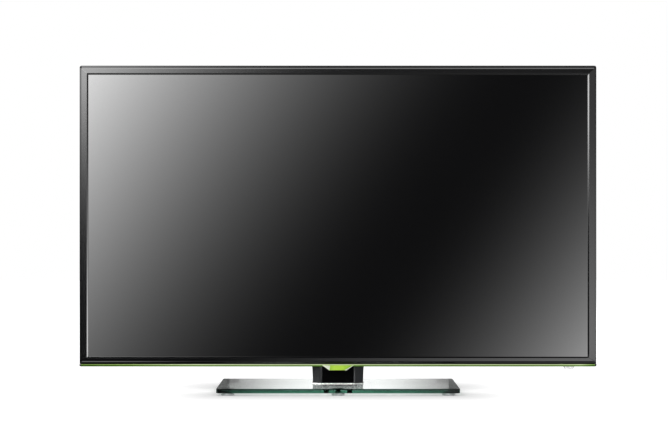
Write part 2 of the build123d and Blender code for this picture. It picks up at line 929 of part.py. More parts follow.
finish("hdmi_sockets", sockets(hdmi_places, hdmi_size, socket_wall, True))
finish("usb_sockets", sockets(usb_places, usb_size, socket_wall, True))
finish("vga_socket", sockets(vga_places, vga_size, socket_wall, True))
finish("network_socket", sockets(lan_places, lan_size, lan_wall, False))
finish("av_jacks", jacks(jack_places))
finish("headphone_jack", jacks(phone_places))
finish("aerial_socket", jacks(aerial_places))

# Mains inlet with two pins
with BuildPart() as mains_inlet:
    with Locations(inlet_place):
        Box(*inlet_size, align=upright)
    with BuildSketch(Plane(inlet_place)):
        SlotOverall(*inlet_recess)
    extrude(amount=inlet_recess_depth, mode=Mode.SUBTRACT)
    pins = [(-inlet_pin_spacing / 2, 0), (inlet_pin_spacing / 2, 0)]
    pin_plane = Plane(inlet_place).offset(inlet_pin_short)
    prisms(pin_plane, pins, inlet_pin_radius, pin_sides, inlet_recess_depth - inlet_pin_short)
finish("mains_inlet", mains_inlet)

# Main board and its heat sink
with BuildPart() as main_board:
    block(main_board_x, (high_board_front, high_board_back), main_board_z)
finish("main_board", main_board)

sink_x = sum(main_board_x) / 2
sink_z = main_board_z[1] - heat_sink_size
with BuildPart() as main_heat_sink:
    sink_back = high_board_back + sink_base
    with Locations((sink_x, high_board_back + sink_base / 2, sink_z)):
        Box(heat_sink_size, sink_base, heat_sink_size)
    with Locations((sink_x, sink_back + fin_height / 2, sink_z)):
        with GridLocations((heat_sink_size - sink_base) / (fin_count - 1), 0, fin_count, 1):
            Box(fin_thickness, fin_height, heat_sink_size)
finish("main_heat_sink", main_heat_sink)

# Power board with transformers, capacitors and heat sinks
with BuildPart() as power_board:
    block(power_x, (low_board_front, low_board_back), power_z)
finish("power_board", power_board)

power_middle_z = sum(power_z) / 2
with BuildPart() as power_transformers:
    for step in (-1, 1):
        core_x = power_board_x + step * transformer_spread
        core_z = power_middle_z - transformer_drop
        with Locations((core_x, low_board_back, core_z)):
            with Locations((0, power_height / 2, 0)):
                Box(transformer_core[0], power_height, transformer_core[1])
                Box(transformer_coil[0], power_height - 2 * transformer_step, transformer_coil[1])
finish("power_transformers", power_transformers)

with BuildPart() as power_capacitors:
    row_start = power_board_x - (capacitor_count - 1) / 2 * capacitor_pitch
    row_z = power_middle_z + capacitor_rise
    row = [(row_start + step * capacitor_pitch, row_z) for step in range(capacitor_count)]
    cans_back = screen_plane(low_board_back + power_height)
    prisms(cans_back, row, capacitor_radius, round_sides, power_height)
finish("power_capacitors", power_capacitors)

with BuildPart() as power_heat_sinks:
    sink_middle = power_middle_z - power_sink_drop
    sink_span = (sink_middle - power_sink_length / 2, sink_middle + power_sink_length / 2)
    sink_end = low_board_back + power_height
    for step in (-1, 1):
        x_middle = power_board_x + step * power_sink_spread
        for width, front in (
            (power_sink_thickness, low_board_back),
            (power_sink_flange, sink_end - power_sink_thickness),
        ):
            block((x_middle - width / 2, x_middle + width / 2), (front, sink_end), sink_span)
finish("power_heat_sinks", power_heat_sinks)

with BuildPart() as board_lead:
    lead_z = main_board_z[1] - 2 * board_margin
    with BuildSketch(Plane.XY.offset(lead_z)):
        with BuildLine():
            Polyline(
                (main_board_x[1] - 2 * board_margin, high_board_back + ribbon_thickness),
                (main_board_x[1] + board_margin, high_board_back + ribbon_thickness),
                (power_x[0] - board_margin, low_board_back + ribbon_thickness),
                (power_x[0] + 2 * board_margin, low_board_back + ribbon_thickness),
            )
        trace(line_width=2 * ribbon_thickness)
    extrude(amount=ribbon_width / 2)
finish("board_lead", board_lead)

# Timing board, its ribbon from the main board and its cables to the source boards
with BuildPart() as timing_board:
    block(timing_x, (high_board_front, high_board_back), timing_z)
finish("timing_board", timing_board)

source_z = (pan_top - source_board_drop - source_board_size[1], pan_top - source_board_drop)
source_front = pan_back + layer_clearance
source_back = source_front + board_thickness / 2
with BuildPart() as source_boards:
    for side in (-1, 1):
        middle = side * source_board_x
        block(
            (middle - source_board_size[0] / 2, middle + source_board_size[0] / 2),
            (source_front, source_back),
            source_z,
        )
finish("source_boards", source_boards)

with BuildPart() as signal_ribbon:
    ribbon_y = (high_board_back, high_board_back + ribbon_thickness)
    ribbon_x = main_board_x[1] - ribbon_width
    ribbon_turn = timing_z[1] - ribbon_width / 2 - ribbon_edge
    block(
        (ribbon_x - ribbon_width, ribbon_x),
        ribbon_y,
        (main_board_z[1] - 2 * board_margin, ribbon_turn),
    )
    block(
        (ribbon_x - ribbon_width, timing_x[0] + 2 * board_margin),
        ribbon_y,
        (ribbon_turn - ribbon_width / 2, ribbon_turn + ribbon_width / 2),
    )
finish("signal_ribbon", signal_ribbon)

with BuildPart() as source_cables:
    high_run = high_board_back + ribbon_thickness / 2 + fit_clearance
    low_run = source_back + ribbon_thickness / 2 + fit_clearance
    with BuildSketch(Plane.YZ.offset(-ribbon_width / 2)):
        with BuildLine():
            Polyline(
                (high_run, timing_z[1] - board_margin),
                (high_run, timing_z[1]),
                (low_run, tower_top),
                (low_run, source_z[0] + board_margin),
            )
        trace(line_width=ribbon_thickness)
    cable_shift = timing_board_size[0] / 4
    extrude(amount=ribbon_width)
    cable = source_cables.part
with BuildPart() as source_cable_pair:
    with Locations((-cable_shift, 0, 0), (cable_shift, 0, 0)):
        add(cable)
finish("source_cables", source_cable_pair)

# Speakers at both ends of the bottom, each box with its driver
speaker_front = pan_back + cell_gap
speaker_z = bulge_bottom + speaker_rise
driver_y = speaker_front + speaker_size[2] / 2
for name, side in (("left", -1), ("right", 1)):
    x_middle = side * speaker_x
    with BuildPart() as speaker_box:
        block(
            (x_middle - speaker_size[0] / 2, x_middle + speaker_size[0] / 2),
            (speaker_front, speaker_front + speaker_size[2]),
            (speaker_z, speaker_z + speaker_size[1]),
        )
        chamfer(speaker_box.edges().filter_by(Axis.Z), speaker_corner)
        mouth = Plane.XY.offset(speaker_z)
        driver_place = [(x_middle, driver_y)]
        prisms(mouth, driver_place, driver_radius, round_sides, speaker_wall, Mode.SUBTRACT)
    finish(f"speaker_{name}", speaker_box)

with BuildPart() as speaker_drivers:
    for side in (-1, 1):
        with BuildSketch(Plane.XY.offset(speaker_z + speaker_wall - driver_depth)):
            with Locations((side * speaker_x, driver_y)):
                RegularPolygon(driver_radius - fit_clearance, round_sides)
    extrude(amount=driver_depth, taper=45)
finish("speaker_drivers", speaker_drivers)

# Key board with its switches
key_board_front = key_board_back - board_thickness
with BuildPart() as key_board:
    block(
        (key_x - key_board_width / 2, key_x + key_board_width / 2),
        (key_board_front, key_board_back),
        key_board_z,
    )
finish("key_board", key_board)

with BuildPart() as key_switches:
    switch_back = key_board_back + switch_height
    with BuildSketch(screen_plane(switch_back)):
        with Locations(*key_places):
            Rectangle(switch_size, switch_size)
    extrude(amount=switch_height)
    plunger_plane = screen_plane(switch_back + plunger_height)
    prisms(plunger_plane, key_places, plunger_radius, pin_sides, plunger_height)
finish("key_switches", key_switches)

# Keys: a cap in the cover's hole, a flange behind it and a stem over the switch
key_names = ("volume_down", "volume_up", "channel_down", "channel_up", "menu", "source", "power")
flange_back = cover_inside - key_clearance
for key_name, z in zip(key_names, key_z):
    with BuildPart() as key:
        with BuildSketch(rear_plane(flange_back)) as cap:
            with Locations((-key_x, z)):
                Rectangle(key_width, key_height)
            chamfer(cap.vertices(), key_corner)
        extrude(amount=bulge_back + key_proud - flange_back)
        with BuildSketch(screen_plane(flange_back)):
            with Locations((key_x, z)):
                Rectangle(key_width + 2 * key_flange, key_height + 2 * key_flange)
        extrude(amount=key_flange_thickness)
        with BuildSketch(screen_plane(flange_back - key_flange_thickness)):
            with Locations((key_x, z)):
                Rectangle(key_stem, key_stem)
        extrude(amount=key_stem - fit_clearance)
    finish(f"key_{key_name}", key)


# Neck: a tapered hollow with its front corners cut back, split into a shroud and a rear cover
def neck_outline(plane, width, spread):
    """Neck's plan on a plane, grown or shrunk by spread."""
    half = width / 2
    facet_back = neck_front + neck_facet_depth
    with BuildSketch(plane) as outline:
        with BuildLine():
            Polyline(
                (-half, facet_back),
                (-half + neck_facet_width, neck_front),
                (half - neck_facet_width, neck_front),
                (half, facet_back),
                (half, neck_back),
                (-half, neck_back),
                close=True,
            )
        make_face()
        chamfer(outline.vertices().group_by(Axis.Y)[-1], neck_rear_corner)
        if spread:
            offset(amount=spread, kind=Kind.INTERSECTION)
    return outline.sketch


def neck_form(inset, past):
    """Neck's outside or, with an inset, its hollow, run past its ends."""
    foot = neck_outline(Plane.XY.offset(neck_bottom - past), neck_bottom_width, -inset)
    top = neck_outline(Plane.XY.offset(body_bottom), neck_top_width, -inset)
    with BuildPart() as form:
        loft(sections=[foot, top], ruled=True)
        extrude(top, amount=neck_rear_top - fit_clearance - body_bottom + past)
    return form.part


neck_outside = neck_form(0, 0)
neck_hollow = neck_form(neck_wall, overcut)
neck_split_y = neck_front + neck_split
window_top = body_bottom + overcut
with BuildPart() as neck_shroud:
    add(neck_outside)
    add(neck_hollow, mode=Mode.SUBTRACT)
    block(
        (-body_width / 2, body_width / 2),
        (neck_split_y - fit_clearance, neck_back + overcut),
        (neck_bottom - overcut, neck_rear_top + overcut),
        Mode.SUBTRACT,
    )
    block(
        (-body_width / 2, body_width / 2),
        (neck_front - overcut, neck_back + overcut),
        (neck_front_top, neck_rear_top + overcut),
        Mode.SUBTRACT,
    )
    half_window = neck_window / 2
    with BuildSketch(Plane.XY.offset(neck_bottom - overcut)):
        with BuildLine():
            Polyline(
                (-half_window - neck_window_slope, neck_front),
                (-half_window, neck_front + neck_wall),
                (-half_window, neck_front + neck_wall + overcut),
                (half_window, neck_front + neck_wall + overcut),
                (half_window, neck_front + neck_wall),
                (half_window + neck_window_slope, neck_front),
                (half_window + neck_window_slope, neck_front - overcut),
                (-half_window - neck_window_slope, neck_front - overcut),
                close=True,
            )
        make_face()
    extrude(amount=window_top - neck_bottom + overcut, mode=Mode.SUBTRACT)
finish("neck_shroud", neck_shroud)

with BuildPart() as neck_front_panel:
    panel_half = half_window + neck_panel_overlap
    panel_front = neck_front + neck_wall
    block(
        (-panel_half, panel_half),
        (panel_front, panel_front + neck_panel_thickness),
        (neck_bottom + fit_clearance, neck_front_top),
    )
finish("neck_front_panel", neck_front_panel)

with BuildPart() as neck_rear_cover:
    add(neck_outside)
    add(neck_hollow, mode=Mode.SUBTRACT)
    block(
        (-body_width / 2, body_width / 2),
        (neck_front - overcut, neck_split_y),
        (neck_bottom - overcut, neck_rear_top + overcut),
        Mode.SUBTRACT,
    )
finish("neck_rear_cover", neck_rear_cover)

base_screw_places = [(step * base_screw_pitch, neck_middle) for step in (-1, 0, 1)]
base_hole = base_screw_radius + fit_clearance
with BuildPart() as foot_plate:
    foot_plane = Plane.XY.offset(glass_top)
    extrude(neck_outline(foot_plane, neck_bottom_width, foot_plate_margin), amount=foot_plate_thickness)
    prisms(foot_plane, base_screw_places, base_hole, pin_sides, foot_plate_thickness, Mode.SUBTRACT)
finish("foot_plate", foot_plate)

with BuildPart() as neck_bracket:
    flange_front = neck_split_y + fit_clearance
    flange_rear = neck_back - neck_wall - fit_clearance
    block(
        (-bracket_width / 2, bracket_width / 2),
        (flange_front, flange_rear),
        (neck_bottom, neck_bottom + bracket_flange),
    )
    block(
        (-bracket_width / 2, bracket_width / 2),
        (bracket_front, bracket_back),
        (neck_bottom + bracket_flange, bracket_top),
    )
    flange_plane = Plane.XY.offset(neck_bottom)
    prisms(flange_plane, base_screw_places, base_hole, pin_sides, bracket_flange, Mode.SUBTRACT)
    stand_hole = stand_screw_shank + fit_clearance
    plate_plane = screen_plane(bracket_back)
    prisms(plate_plane, well_places, stand_hole, pin_sides, bracket_plate, Mode.SUBTRACT)
finish("neck_bracket", neck_bracket)

with BuildPart() as stand_receiver:
    half = receiver_width / 2
    with BuildSketch(Plane.XY.offset(receiver_bottom)):
        with BuildLine():
            Polyline(
                (-half - receiver_flange, pan_back),
                (-half + receiver_wall, pan_back),
                (-half + receiver_wall, receiver_back - receiver_wall),
                (half - receiver_wall, receiver_back - receiver_wall),
                (half - receiver_wall, pan_back),
                (half + receiver_flange, pan_back),
                (half + receiver_flange, pan_back + receiver_wall),
                (half, pan_back + receiver_wall),
                (half, receiver_back),
                (-half, receiver_back),
                (-half, pan_back + receiver_wall),
                (-half - receiver_flange, pan_back + receiver_wall),
                close=True,
            )
        make_face()
    extrude(amount=bracket_top - receiver_bottom)
    web_plane = screen_plane(receiver_back)
    prisms(web_plane, well_places, stand_hole, pin_sides, receiver_wall, Mode.SUBTRACT)
finish("stand_receiver", stand_receiver)

with BuildPart() as stand_screws:
    heads_back = screen_plane(well_front)
    stand_shank = bracket_plate + 3 * receiver_wall
    prisms(heads_back, well_places, stand_screw_head, round_sides, stand_screw_head_height)
    prisms(plate_plane, well_places, stand_screw_shank, pin_sides, stand_shank)
finish("stand_screws", stand_screws)

# Glass base with its clamp plate, bushes, screws and feet
with BuildPart() as glass_base:
    with BuildSketch(Plane.XY.offset(foot_height)):
        RectangleRounded(base_width, base_depth, base_corner)
    extrude(amount=glass_thickness)
    rims = glass_base.faces().filter_by(Axis.Z)
    chamfer(rims.edges(), base_chamfer)
    glass_plane = Plane.XY.offset(foot_height)
    bush_hole = bush_radius + fit_clearance
    prisms(glass_plane, base_screw_places, bush_hole, round_sides, glass_thickness, Mode.SUBTRACT)
finish("glass_base", glass_base)

with BuildPart() as base_bushes:
    prisms(glass_plane, base_screw_places, bush_radius, round_sides, glass_thickness)
    prisms(glass_plane, base_screw_places, base_hole, pin_sides, glass_thickness, Mode.SUBTRACT)
finish("base_bushes", base_bushes)

clamp_bottom = foot_height - clamp_plate_thickness
with BuildPart() as clamp_plate:
    with BuildSketch(Plane.XY.offset(clamp_bottom)):
        with Locations((0, neck_middle)):
            Rectangle(*clamp_plate_size)
        with Locations(*base_screw_places):
            RegularPolygon(base_hole, pin_sides, mode=Mode.SUBTRACT)
    extrude(amount=clamp_plate_thickness)
finish("clamp_plate", clamp_plate)

with BuildPart() as base_screws:
    heads_plane = Plane.XY.offset(clamp_bottom - base_screw_head_height)
    shanks_plane = Plane.XY.offset(clamp_bottom)
    base_shank = neck_bottom + bracket_flange + screw_tip - clamp_bottom
    prisms(heads_plane, base_screw_places, base_screw_head, round_sides, base_screw_head_height)
    prisms(shanks_plane, base_screw_places, base_screw_radius, pin_sides, base_shank)
finish("base_screws", base_screws)

with BuildPart() as feet:
    foot_x = base_width / 2 - foot_inset_x
    foot_y = base_depth / 2 - foot_inset_y
    foot_places = [(x, y) for x in (-foot_x, 0, foot_x) for y in (-foot_y, foot_y)]
    prisms(Plane.XY, foot_places, foot_radius, foot_sides, foot_height)
    chamfer(feet.faces().filter_by(Axis.Z).group_by(Axis.Z)[0].edges(), foot_chamfer)
finish("feet", feet)
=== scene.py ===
"""Looks of a flat television on a glass stand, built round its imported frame."""
import logging
import math
from dataclasses import dataclass
from enum import Enum
from typing import Iterable, Sequence

import bmesh
import bpy
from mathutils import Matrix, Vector


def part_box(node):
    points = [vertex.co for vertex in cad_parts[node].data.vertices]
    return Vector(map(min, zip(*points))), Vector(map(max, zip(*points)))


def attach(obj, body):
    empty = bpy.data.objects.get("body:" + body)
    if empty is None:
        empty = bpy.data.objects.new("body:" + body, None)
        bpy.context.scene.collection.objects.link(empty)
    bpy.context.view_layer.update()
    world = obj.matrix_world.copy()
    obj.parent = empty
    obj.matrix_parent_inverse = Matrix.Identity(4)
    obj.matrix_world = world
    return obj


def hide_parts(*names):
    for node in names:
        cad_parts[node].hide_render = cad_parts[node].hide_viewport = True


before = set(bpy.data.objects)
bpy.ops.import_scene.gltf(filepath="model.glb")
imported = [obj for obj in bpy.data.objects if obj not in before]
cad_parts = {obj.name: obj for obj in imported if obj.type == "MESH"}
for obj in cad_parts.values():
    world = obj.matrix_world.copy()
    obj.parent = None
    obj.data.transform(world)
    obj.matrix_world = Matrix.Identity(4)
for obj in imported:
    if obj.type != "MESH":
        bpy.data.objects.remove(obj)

LOG = logging.getLogger("television")
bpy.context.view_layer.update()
MM = 0.001
BODY = "chassis"
SHARP = math.radians(28)
ONE_PLANE = math.radians(0.5)
MERGE = 0.002 * MM
GLASS_IOR = 1.52
MOST_NOISE = (0.3, 0.7)
SMUDGES = (0.4, 0.7)
SMUDGE_NOISE = (40, 5)
SMUDGE_HAZE = 0.01
CLOUD_NOISE = (60, 4)
CLOUDS = (0.35, 0.65)
MOST_CUT = 0.4

Flat = tuple[float, float]
Point = tuple[float, float, float]
Colour = tuple[float, float, float]
Span = tuple[Point, Point]
Steps = tuple[Flat, ...]
Loop = list[Point]
Socket = bpy.types.NodeSocket
Material = bpy.types.Material


def span(node: str) -> Span:
    """Lowest and highest corner of a CAD node.

    Args:
        node: Name of the CAD node.

    Returns:
        Both corners in millimetres.
    """
    low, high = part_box(node)
    return tuple(value / MM for value in low), tuple(value / MM for value in high)


# Shader trees


def shaded(colour: Colour, share: float) -> Colour:
    """Scale the brightness of a colour."""
    return tuple(value * share for value in colour)


class Grain(Enum):
    """Kinds of surface grain, with the octaves and the stretch of their noise."""

    SMOOTH = (2, (1, 1, 1))
    SPARK = (6, (1, 1, 1))
    BRUSHED = (4, (40, 1, 1))
    SPANGLE = ()


class NodeWriter:
    """Writes nodes into a tree of any kind."""

    def __init__(self, tree: bpy.types.NodeTree) -> None:
        """Take a material's, a world's or a modifier's tree and clear it."""
        self.tree = tree
        self.tree.nodes.clear()

    def node(self, kind: str, inputs: dict | None = None, **settings: object) -> bpy.types.Node:
        """Add a node.

        Args:
            kind: Blender's name for the node type.
            inputs: Values or sockets by input name or number.
            **settings: Attributes of the node.

        Returns:
            The new node.
        """
        new = self.tree.nodes.new(kind)
        for key, value in settings.items():
            setattr(new, key, value)
        for key, value in (inputs or {}).items():
            if isinstance(value, bpy.types.NodeSocket):
                self.tree.links.new(value, new.inputs[key])
            else:
                new.inputs[key].default_value = value
        return new

    def math(self, operation: str, *values: object) -> Socket:
        """Add a Math node and return its output."""
        return self.node("ShaderNodeMath", dict(enumerate(values)), operation=operation).outputs[0]

    def shift(self, value: object, start: Flat, end: Flat = (0.0, 1.0)) -> Socket:
        """Map a value from one range to another, clamped."""
        names = ("Value", "From Min", "From Max", "To Min", "To Max")
        return self.node("ShaderNodeMapRange", dict(zip(names, (value, *start, *end)))).outputs[0]

    def pick(self, share: object, first: object, second: object) -> Socket:
        """Mix two values by a share from 0 to 1."""
        return self.node("ShaderNodeMix", {0: share, 2: first, 3: second}).outputs[0]

    def above(self, value: object, limit: object, low: object, high: object) -> Socket:
        """Take one of two values by whether another one is over a limit."""
        return self.pick(self.math("GREATER_THAN", value, limit), low, high)


class ShaderTree(NodeWriter):
    """Writes the node tree of one material."""

    def __init__(self, name: str) -> None:
        """Start an empty tree.

        Args:
            name: Name of the material.
        """
        self.material = bpy.data.materials.new(name)
        self.material.use_nodes = True
        super().__init__(self.material.node_tree)
        self.output = self.node("ShaderNodeOutputMaterial")
        self.place = self.node("ShaderNodeTexCoord").outputs["Object"]

    def axis(self, name: str) -> Socket:
        """Return one of the object coordinates, "X", "Y" or "Z", in metres."""
        return self.node("ShaderNodeSeparateXYZ", {0: self.place}).outputs[name]

    def along(self, axis: str, low: float, high: float) -> Socket:
        """Share of the way between two places on an axis, in millimetres."""
        return self.shift(self.axis(axis), (low * MM, high * MM))

    def aside(self, half: float) -> Socket:
        """Share of the way from the middle out to a half width in millimetres."""
        return self.shift(self.math("ABSOLUTE", self.axis("X")), (0, half * MM))

    def noise(self, size: float, detail: float = 3.0, stretch: Point = (1, 1, 1)) -> Socket:
        """Add noise with features of a given size.

        Args:
            size: Size of a feature in millimetres.
            detail: Octaves of finer noise.
            stretch: How far the features are drawn out along each axis.

        Returns:
            The noise's value.
        """
        scaled = self.node("ShaderNodeMapping", {"Vector": self.place, "Scale": [1 / s for s in stretch]})
        inputs = {"Vector": scaled.outputs[0], "Scale": 1 / (size * MM), "Detail": detail}
        return self.node("ShaderNodeTexNoise", inputs).outputs[0]

    def cells(self, size: float, output: str, spread: float = 1.0, **settings: object) -> Socket:
        """Add cells of a size in millimetres and return one of the pattern's outputs."""
        inputs = {"Vector": self.place, "Scale": 1 / (size * MM), "Randomness": spread}
        return self.node("ShaderNodeTexVoronoi", inputs, **settings).outputs[output]

    def sheen(self, size: float, low: float, high: float) -> Socket:
        """Roughness that wanders between two values, in patches of a size in millimetres."""
        return self.shift(self.noise(size), MOST_NOISE, (low, high))

    def smudged(self, roughness: float) -> Socket:
        """Roughness of clear pieces, a little higher where they are smudged."""
        return self.shift(self.noise(*SMUDGE_NOISE), SMUDGES, (roughness, roughness + SMUDGE_HAZE))

    def ramp(self, value: object, stops: Sequence[tuple[float, Colour]]) -> Socket:
        """Add a colour ramp.

        Args:
            value: Socket that drives the ramp.
            stops: Position and linear colour of each stop, in order.

        Returns:
            The ramp's colour.
        """
        new = self.node("ShaderNodeValToRGB", {0: value})
        elements = new.color_ramp.elements
        while len(elements) < len(stops):
            elements.new(0.5)
        for element, (place, colour) in zip(elements, stops):
            element.position = place
            element.color = (*colour, 1)
        return new.outputs[0]

    def greys(self, value: object, steps: Steps) -> Socket:
        """Add a ramp of greys, from the position and level of each stop."""
        return self.ramp(value, [(place, (level,) * 3) for place, level in steps])

    def tones(self, value: object, first: Colour, second: Colour, between: Flat = (0.0, 1.0)) -> Socket:
        """Add a ramp that goes from one colour to another between two values."""
        return self.ramp(value, tuple(zip(between, (first, second))))

    def bump(self, height: object, distance: float) -> Socket:
        """Turn a height into a normal, with the relief's depth in millimetres."""
        return self.node("ShaderNodeBump", {"Height": height, "Distance": distance * MM}).outputs[0]

    def tinted(self, first: object, second: object) -> Socket:
        """Multiply two colours."""
        inputs = {0: 1.0, 6: first, 7: second}
        return self.node("ShaderNodeMix", inputs, data_type="RGBA", blend_type="MULTIPLY").outputs[2]

    def close(self, shader: bpy.types.Node) -> Material:
        """Join a shader to the output and return the material."""
        self.tree.links.new(shader.outputs[0], self.output.inputs["Surface"])
        return self.material

    def principled(self, inputs: dict) -> Material:
        """Close the tree with the main shader alone."""
        return self.close(self.node("ShaderNodeBsdfPrincipled", inputs))

    def glass(self, inputs: dict, shade: Colour) -> Material:
        """Close the tree with clear glass that lets the lamps' light through.

        Args:
            inputs: Inputs of the main shader, apart from what makes it clear.
            shade: Tint of the light that passes.

        Returns:
            The finished material.
        """
        inputs = {**inputs, "IOR": GLASS_IOR, "Transmission Weight": 1.0}
        shader = self.node("ShaderNodeBsdfPrincipled", inputs)
        clear = self.node("ShaderNodeBsdfTransparent", {"Color": (*shade, 1)})
        shadow = self.node("ShaderNodeLightPath").outputs["Is Shadow Ray"]
        mix = {0: shadow, 1: shader.outputs[0], 2: clear.outputs[0]}
        return self.close(self.node("ShaderNodeMixShader", mix))


@dataclass(frozen=True)
class Surface:
    """A finish that gives the inputs of its main shader.

    A finish's gloss is the size of a patch in millimetres and the lowest and highest roughness.
    """

    name: str

    def inputs(self, tree: ShaderTree) -> dict:
        """Write the nodes of the finish.

        Args:
            tree: Tree of the finish's material.

        Returns:
            Inputs of the main shader, by name.
        """
        raise NotImplementedError

    def build(self) -> Material:
        """Build the material."""
        tree = ShaderTree(self.name)
        return tree.principled(self.inputs(tree))


@dataclass(frozen=True)
class ClearSurface(Surface):
    """A clear finish, which tints the light that passes."""

    shade: Colour

    def build(self) -> Material:
        """Build the material."""
        tree = ShaderTree(self.name)
        return tree.glass(self.inputs(tree), self.shade)


@dataclass(frozen=True)
class Finish(Surface):
    """An opaque finish with grain, uneven tone and uneven gloss."""

    colour: Colour
    roughness: float = 0.5
    metallic: float = 0.0
    grain: Grain = Grain.SPARK
    grain_size: float = 4.0
    grain_depth: float = 0.0
    tone: float = 0.06
    haze: float = 0.05
    specular: float = 0.5
    clear: float = 0.0

    def inputs(self, tree: ShaderTree) -> dict:
        """Write clouds of tone and gloss, and the grain's relief.

        Args:
            tree: Tree of the finish's material.

        Returns:
            Inputs of the main shader, by name.
        """
        if self.grain is Grain.SPANGLE:
            relief = cloud = tree.cells(self.grain_size, "Color")
        else:
            relief = tree.noise(self.grain_size, *self.grain.value)
            cloud = tree.noise(*CLOUD_NOISE)
        darker, lighter = (shaded(self.colour, 1 + side * self.tone) for side in (-1, 1))
        inputs = {
            "Base Color": tree.tones(cloud, darker, lighter, CLOUDS),
            "Roughness": tree.shift(cloud, MOST_NOISE, (self.roughness, self.roughness * (1 + self.haze))),
            "Metallic": self.metallic,
            "Specular IOR Level": self.specular,
            "Transmission Weight": self.clear,
        }
        if self.grain_depth:
            inputs["Normal"] = tree.bump(relief, self.grain_depth)
        return inputs


@dataclass(frozen=True)
class ScreenFinish(Surface):
    """Front polariser of the cell: near black, glossy, with the faint grid of its pixels."""

    name: str = "screen"
    dark: Colour = (0.0016, 0.0016, 0.0019)
    light: Colour = (0.0024, 0.0024, 0.0028)
    pixel: float = 0.485
    gloss: Point = (90, 0.015, 0.03)

    def inputs(self, tree: ShaderTree) -> dict:
        """Write the columns of pixels under a soft gloss.

        Args:
            tree: Tree of the finish's material.

        Returns:
            Inputs of the main shader, by name.
        """
        stripes = {"Vector": tree.place, "Scale": 1 / (self.pixel * MM), "Detail": 0.0}
        columns = tree.node("ShaderNodeTexWave", stripes, bands_direction="X").outputs[0]
        colour = tree.tones(columns, self.dark, self.light)
        return {"Base Color": colour, "Roughness": tree.sheen(*self.gloss)}


@dataclass(frozen=True)
class StripFinish(Surface):
    """Green acrylic of the trim strip: a deep facet, a light facet over it that is a painted highlight, and
    a black rebate whose black is partly its carrier and partly painted shade under the bezel.
    """

    name: str = "green_acrylic"
    deep: Colour = (0.10, 0.255, 0.010)
    pale_highlight: Colour = (0.84, 0.98, 0.66)
    rebate: Colour = (0.012, 0.014, 0.010)
    heights: Flat = (46.0, 51.5)
    steps: tuple[float, ...] = (0.46, 0.50, 0.76, 0.78)
    half: float = 481.0
    gloss: Point = (30, 0.3, 0.36)
    specular: float = 0.06
    # Painted light along the strip: painted shade darkens both ends, and painted highlights make two white
    # bands near them.
    light_along_strip: tuple[tuple[float, Colour], ...] = (
        (0.0, (0.2, 0.3, 0.08)),
        (0.1, (0.42, 0.52, 0.22)),
        (0.23, (1.0, 1.0, 0.85)),
        (0.5, (0.82, 0.82, 0.66)),
        (0.94, (0.82, 0.84, 0.66)),
        (0.97, (1.0, 1.0, 0.85)),
        (0.985, (0.5, 0.62, 0.3)),
        (1.0, (0.2, 0.35, 0.1)),
    )

    def inputs(self, tree: ShaderTree) -> dict:
        """Write the facets up the strip, with painted highlight and shade along it.

        Args:
            tree: Tree of the finish's material.

        Returns:
            Inputs of the main shader, by name.
        """
        # The upper facet's colour is a painted highlight; the rebate's black is partly painted shade.
        facets = tuple(zip(self.steps, (self.deep, self.pale_highlight, self.pale_highlight, self.rebate)))
        fade = tree.ramp(tree.along("X", -self.half, self.half), self.light_along_strip)
        return {
            "Base Color": tree.tinted(tree.ramp(tree.along("Z", *self.heights), facets), fade),
            "Roughness": tree.sheen(*self.gloss),
            "Specular IOR Level": self.specular,
        }


@dataclass(frozen=True)
class GlowFinish(Surface):
    """Clear coloured moulding, lighter towards its middle; its colours may be set brighter than the
    moulding's own, as painted light.
    """

    middle: Colour
    edge: Colour
    half: float
    roughness: float = 0.12
    haze: float = 0.06
    haze_patch: float = 9.0
    cloud: float = 0.25
    cloud_patch: float = 6.0
    pool: Flat = (0.35, 1.0)
    coat: Flat = (0.8, 0.03)

    def inputs(self, tree: ShaderTree) -> dict:
        """Write the colour, lighter towards the middle, under a coat.

        Args:
            tree: Tree of the finish's material.

        Returns:
            Inputs of the main shader, by name.
        """
        cloud = tree.math("MULTIPLY", tree.noise(self.cloud_patch), self.cloud)
        pooled = tree.math("ADD", tree.aside(self.half), cloud)
        return {
            "Base Color": tree.tones(pooled, self.middle, self.edge, self.pool),
            "Roughness": tree.sheen(self.haze_patch, self.roughness, self.roughness + self.haze),
            "Coat Weight": self.coat[0],
            "Coat Roughness": self.coat[1],
        }


@dataclass(frozen=True)
class GlassFinish(ClearSurface):
    """Clear moulding, tinted a little and smudged here and there."""

    roughness: float = 0.0
    cloud: float = 0.97
    cloud_patch: float = 120.0

    def inputs(self, tree: ShaderTree) -> dict:
        """Write the uneven tint and the smudges.

        Args:
            tree: Tree of the finish's material.

        Returns:
            Inputs of the main shader, by name.
        """
        cloud = tree.noise(self.cloud_patch)
        tint = tree.tones(cloud, shaded(self.shade, self.cloud), self.shade, MOST_NOISE)
        return {"Base Color": tint, "Roughness": tree.smudged(self.roughness)}


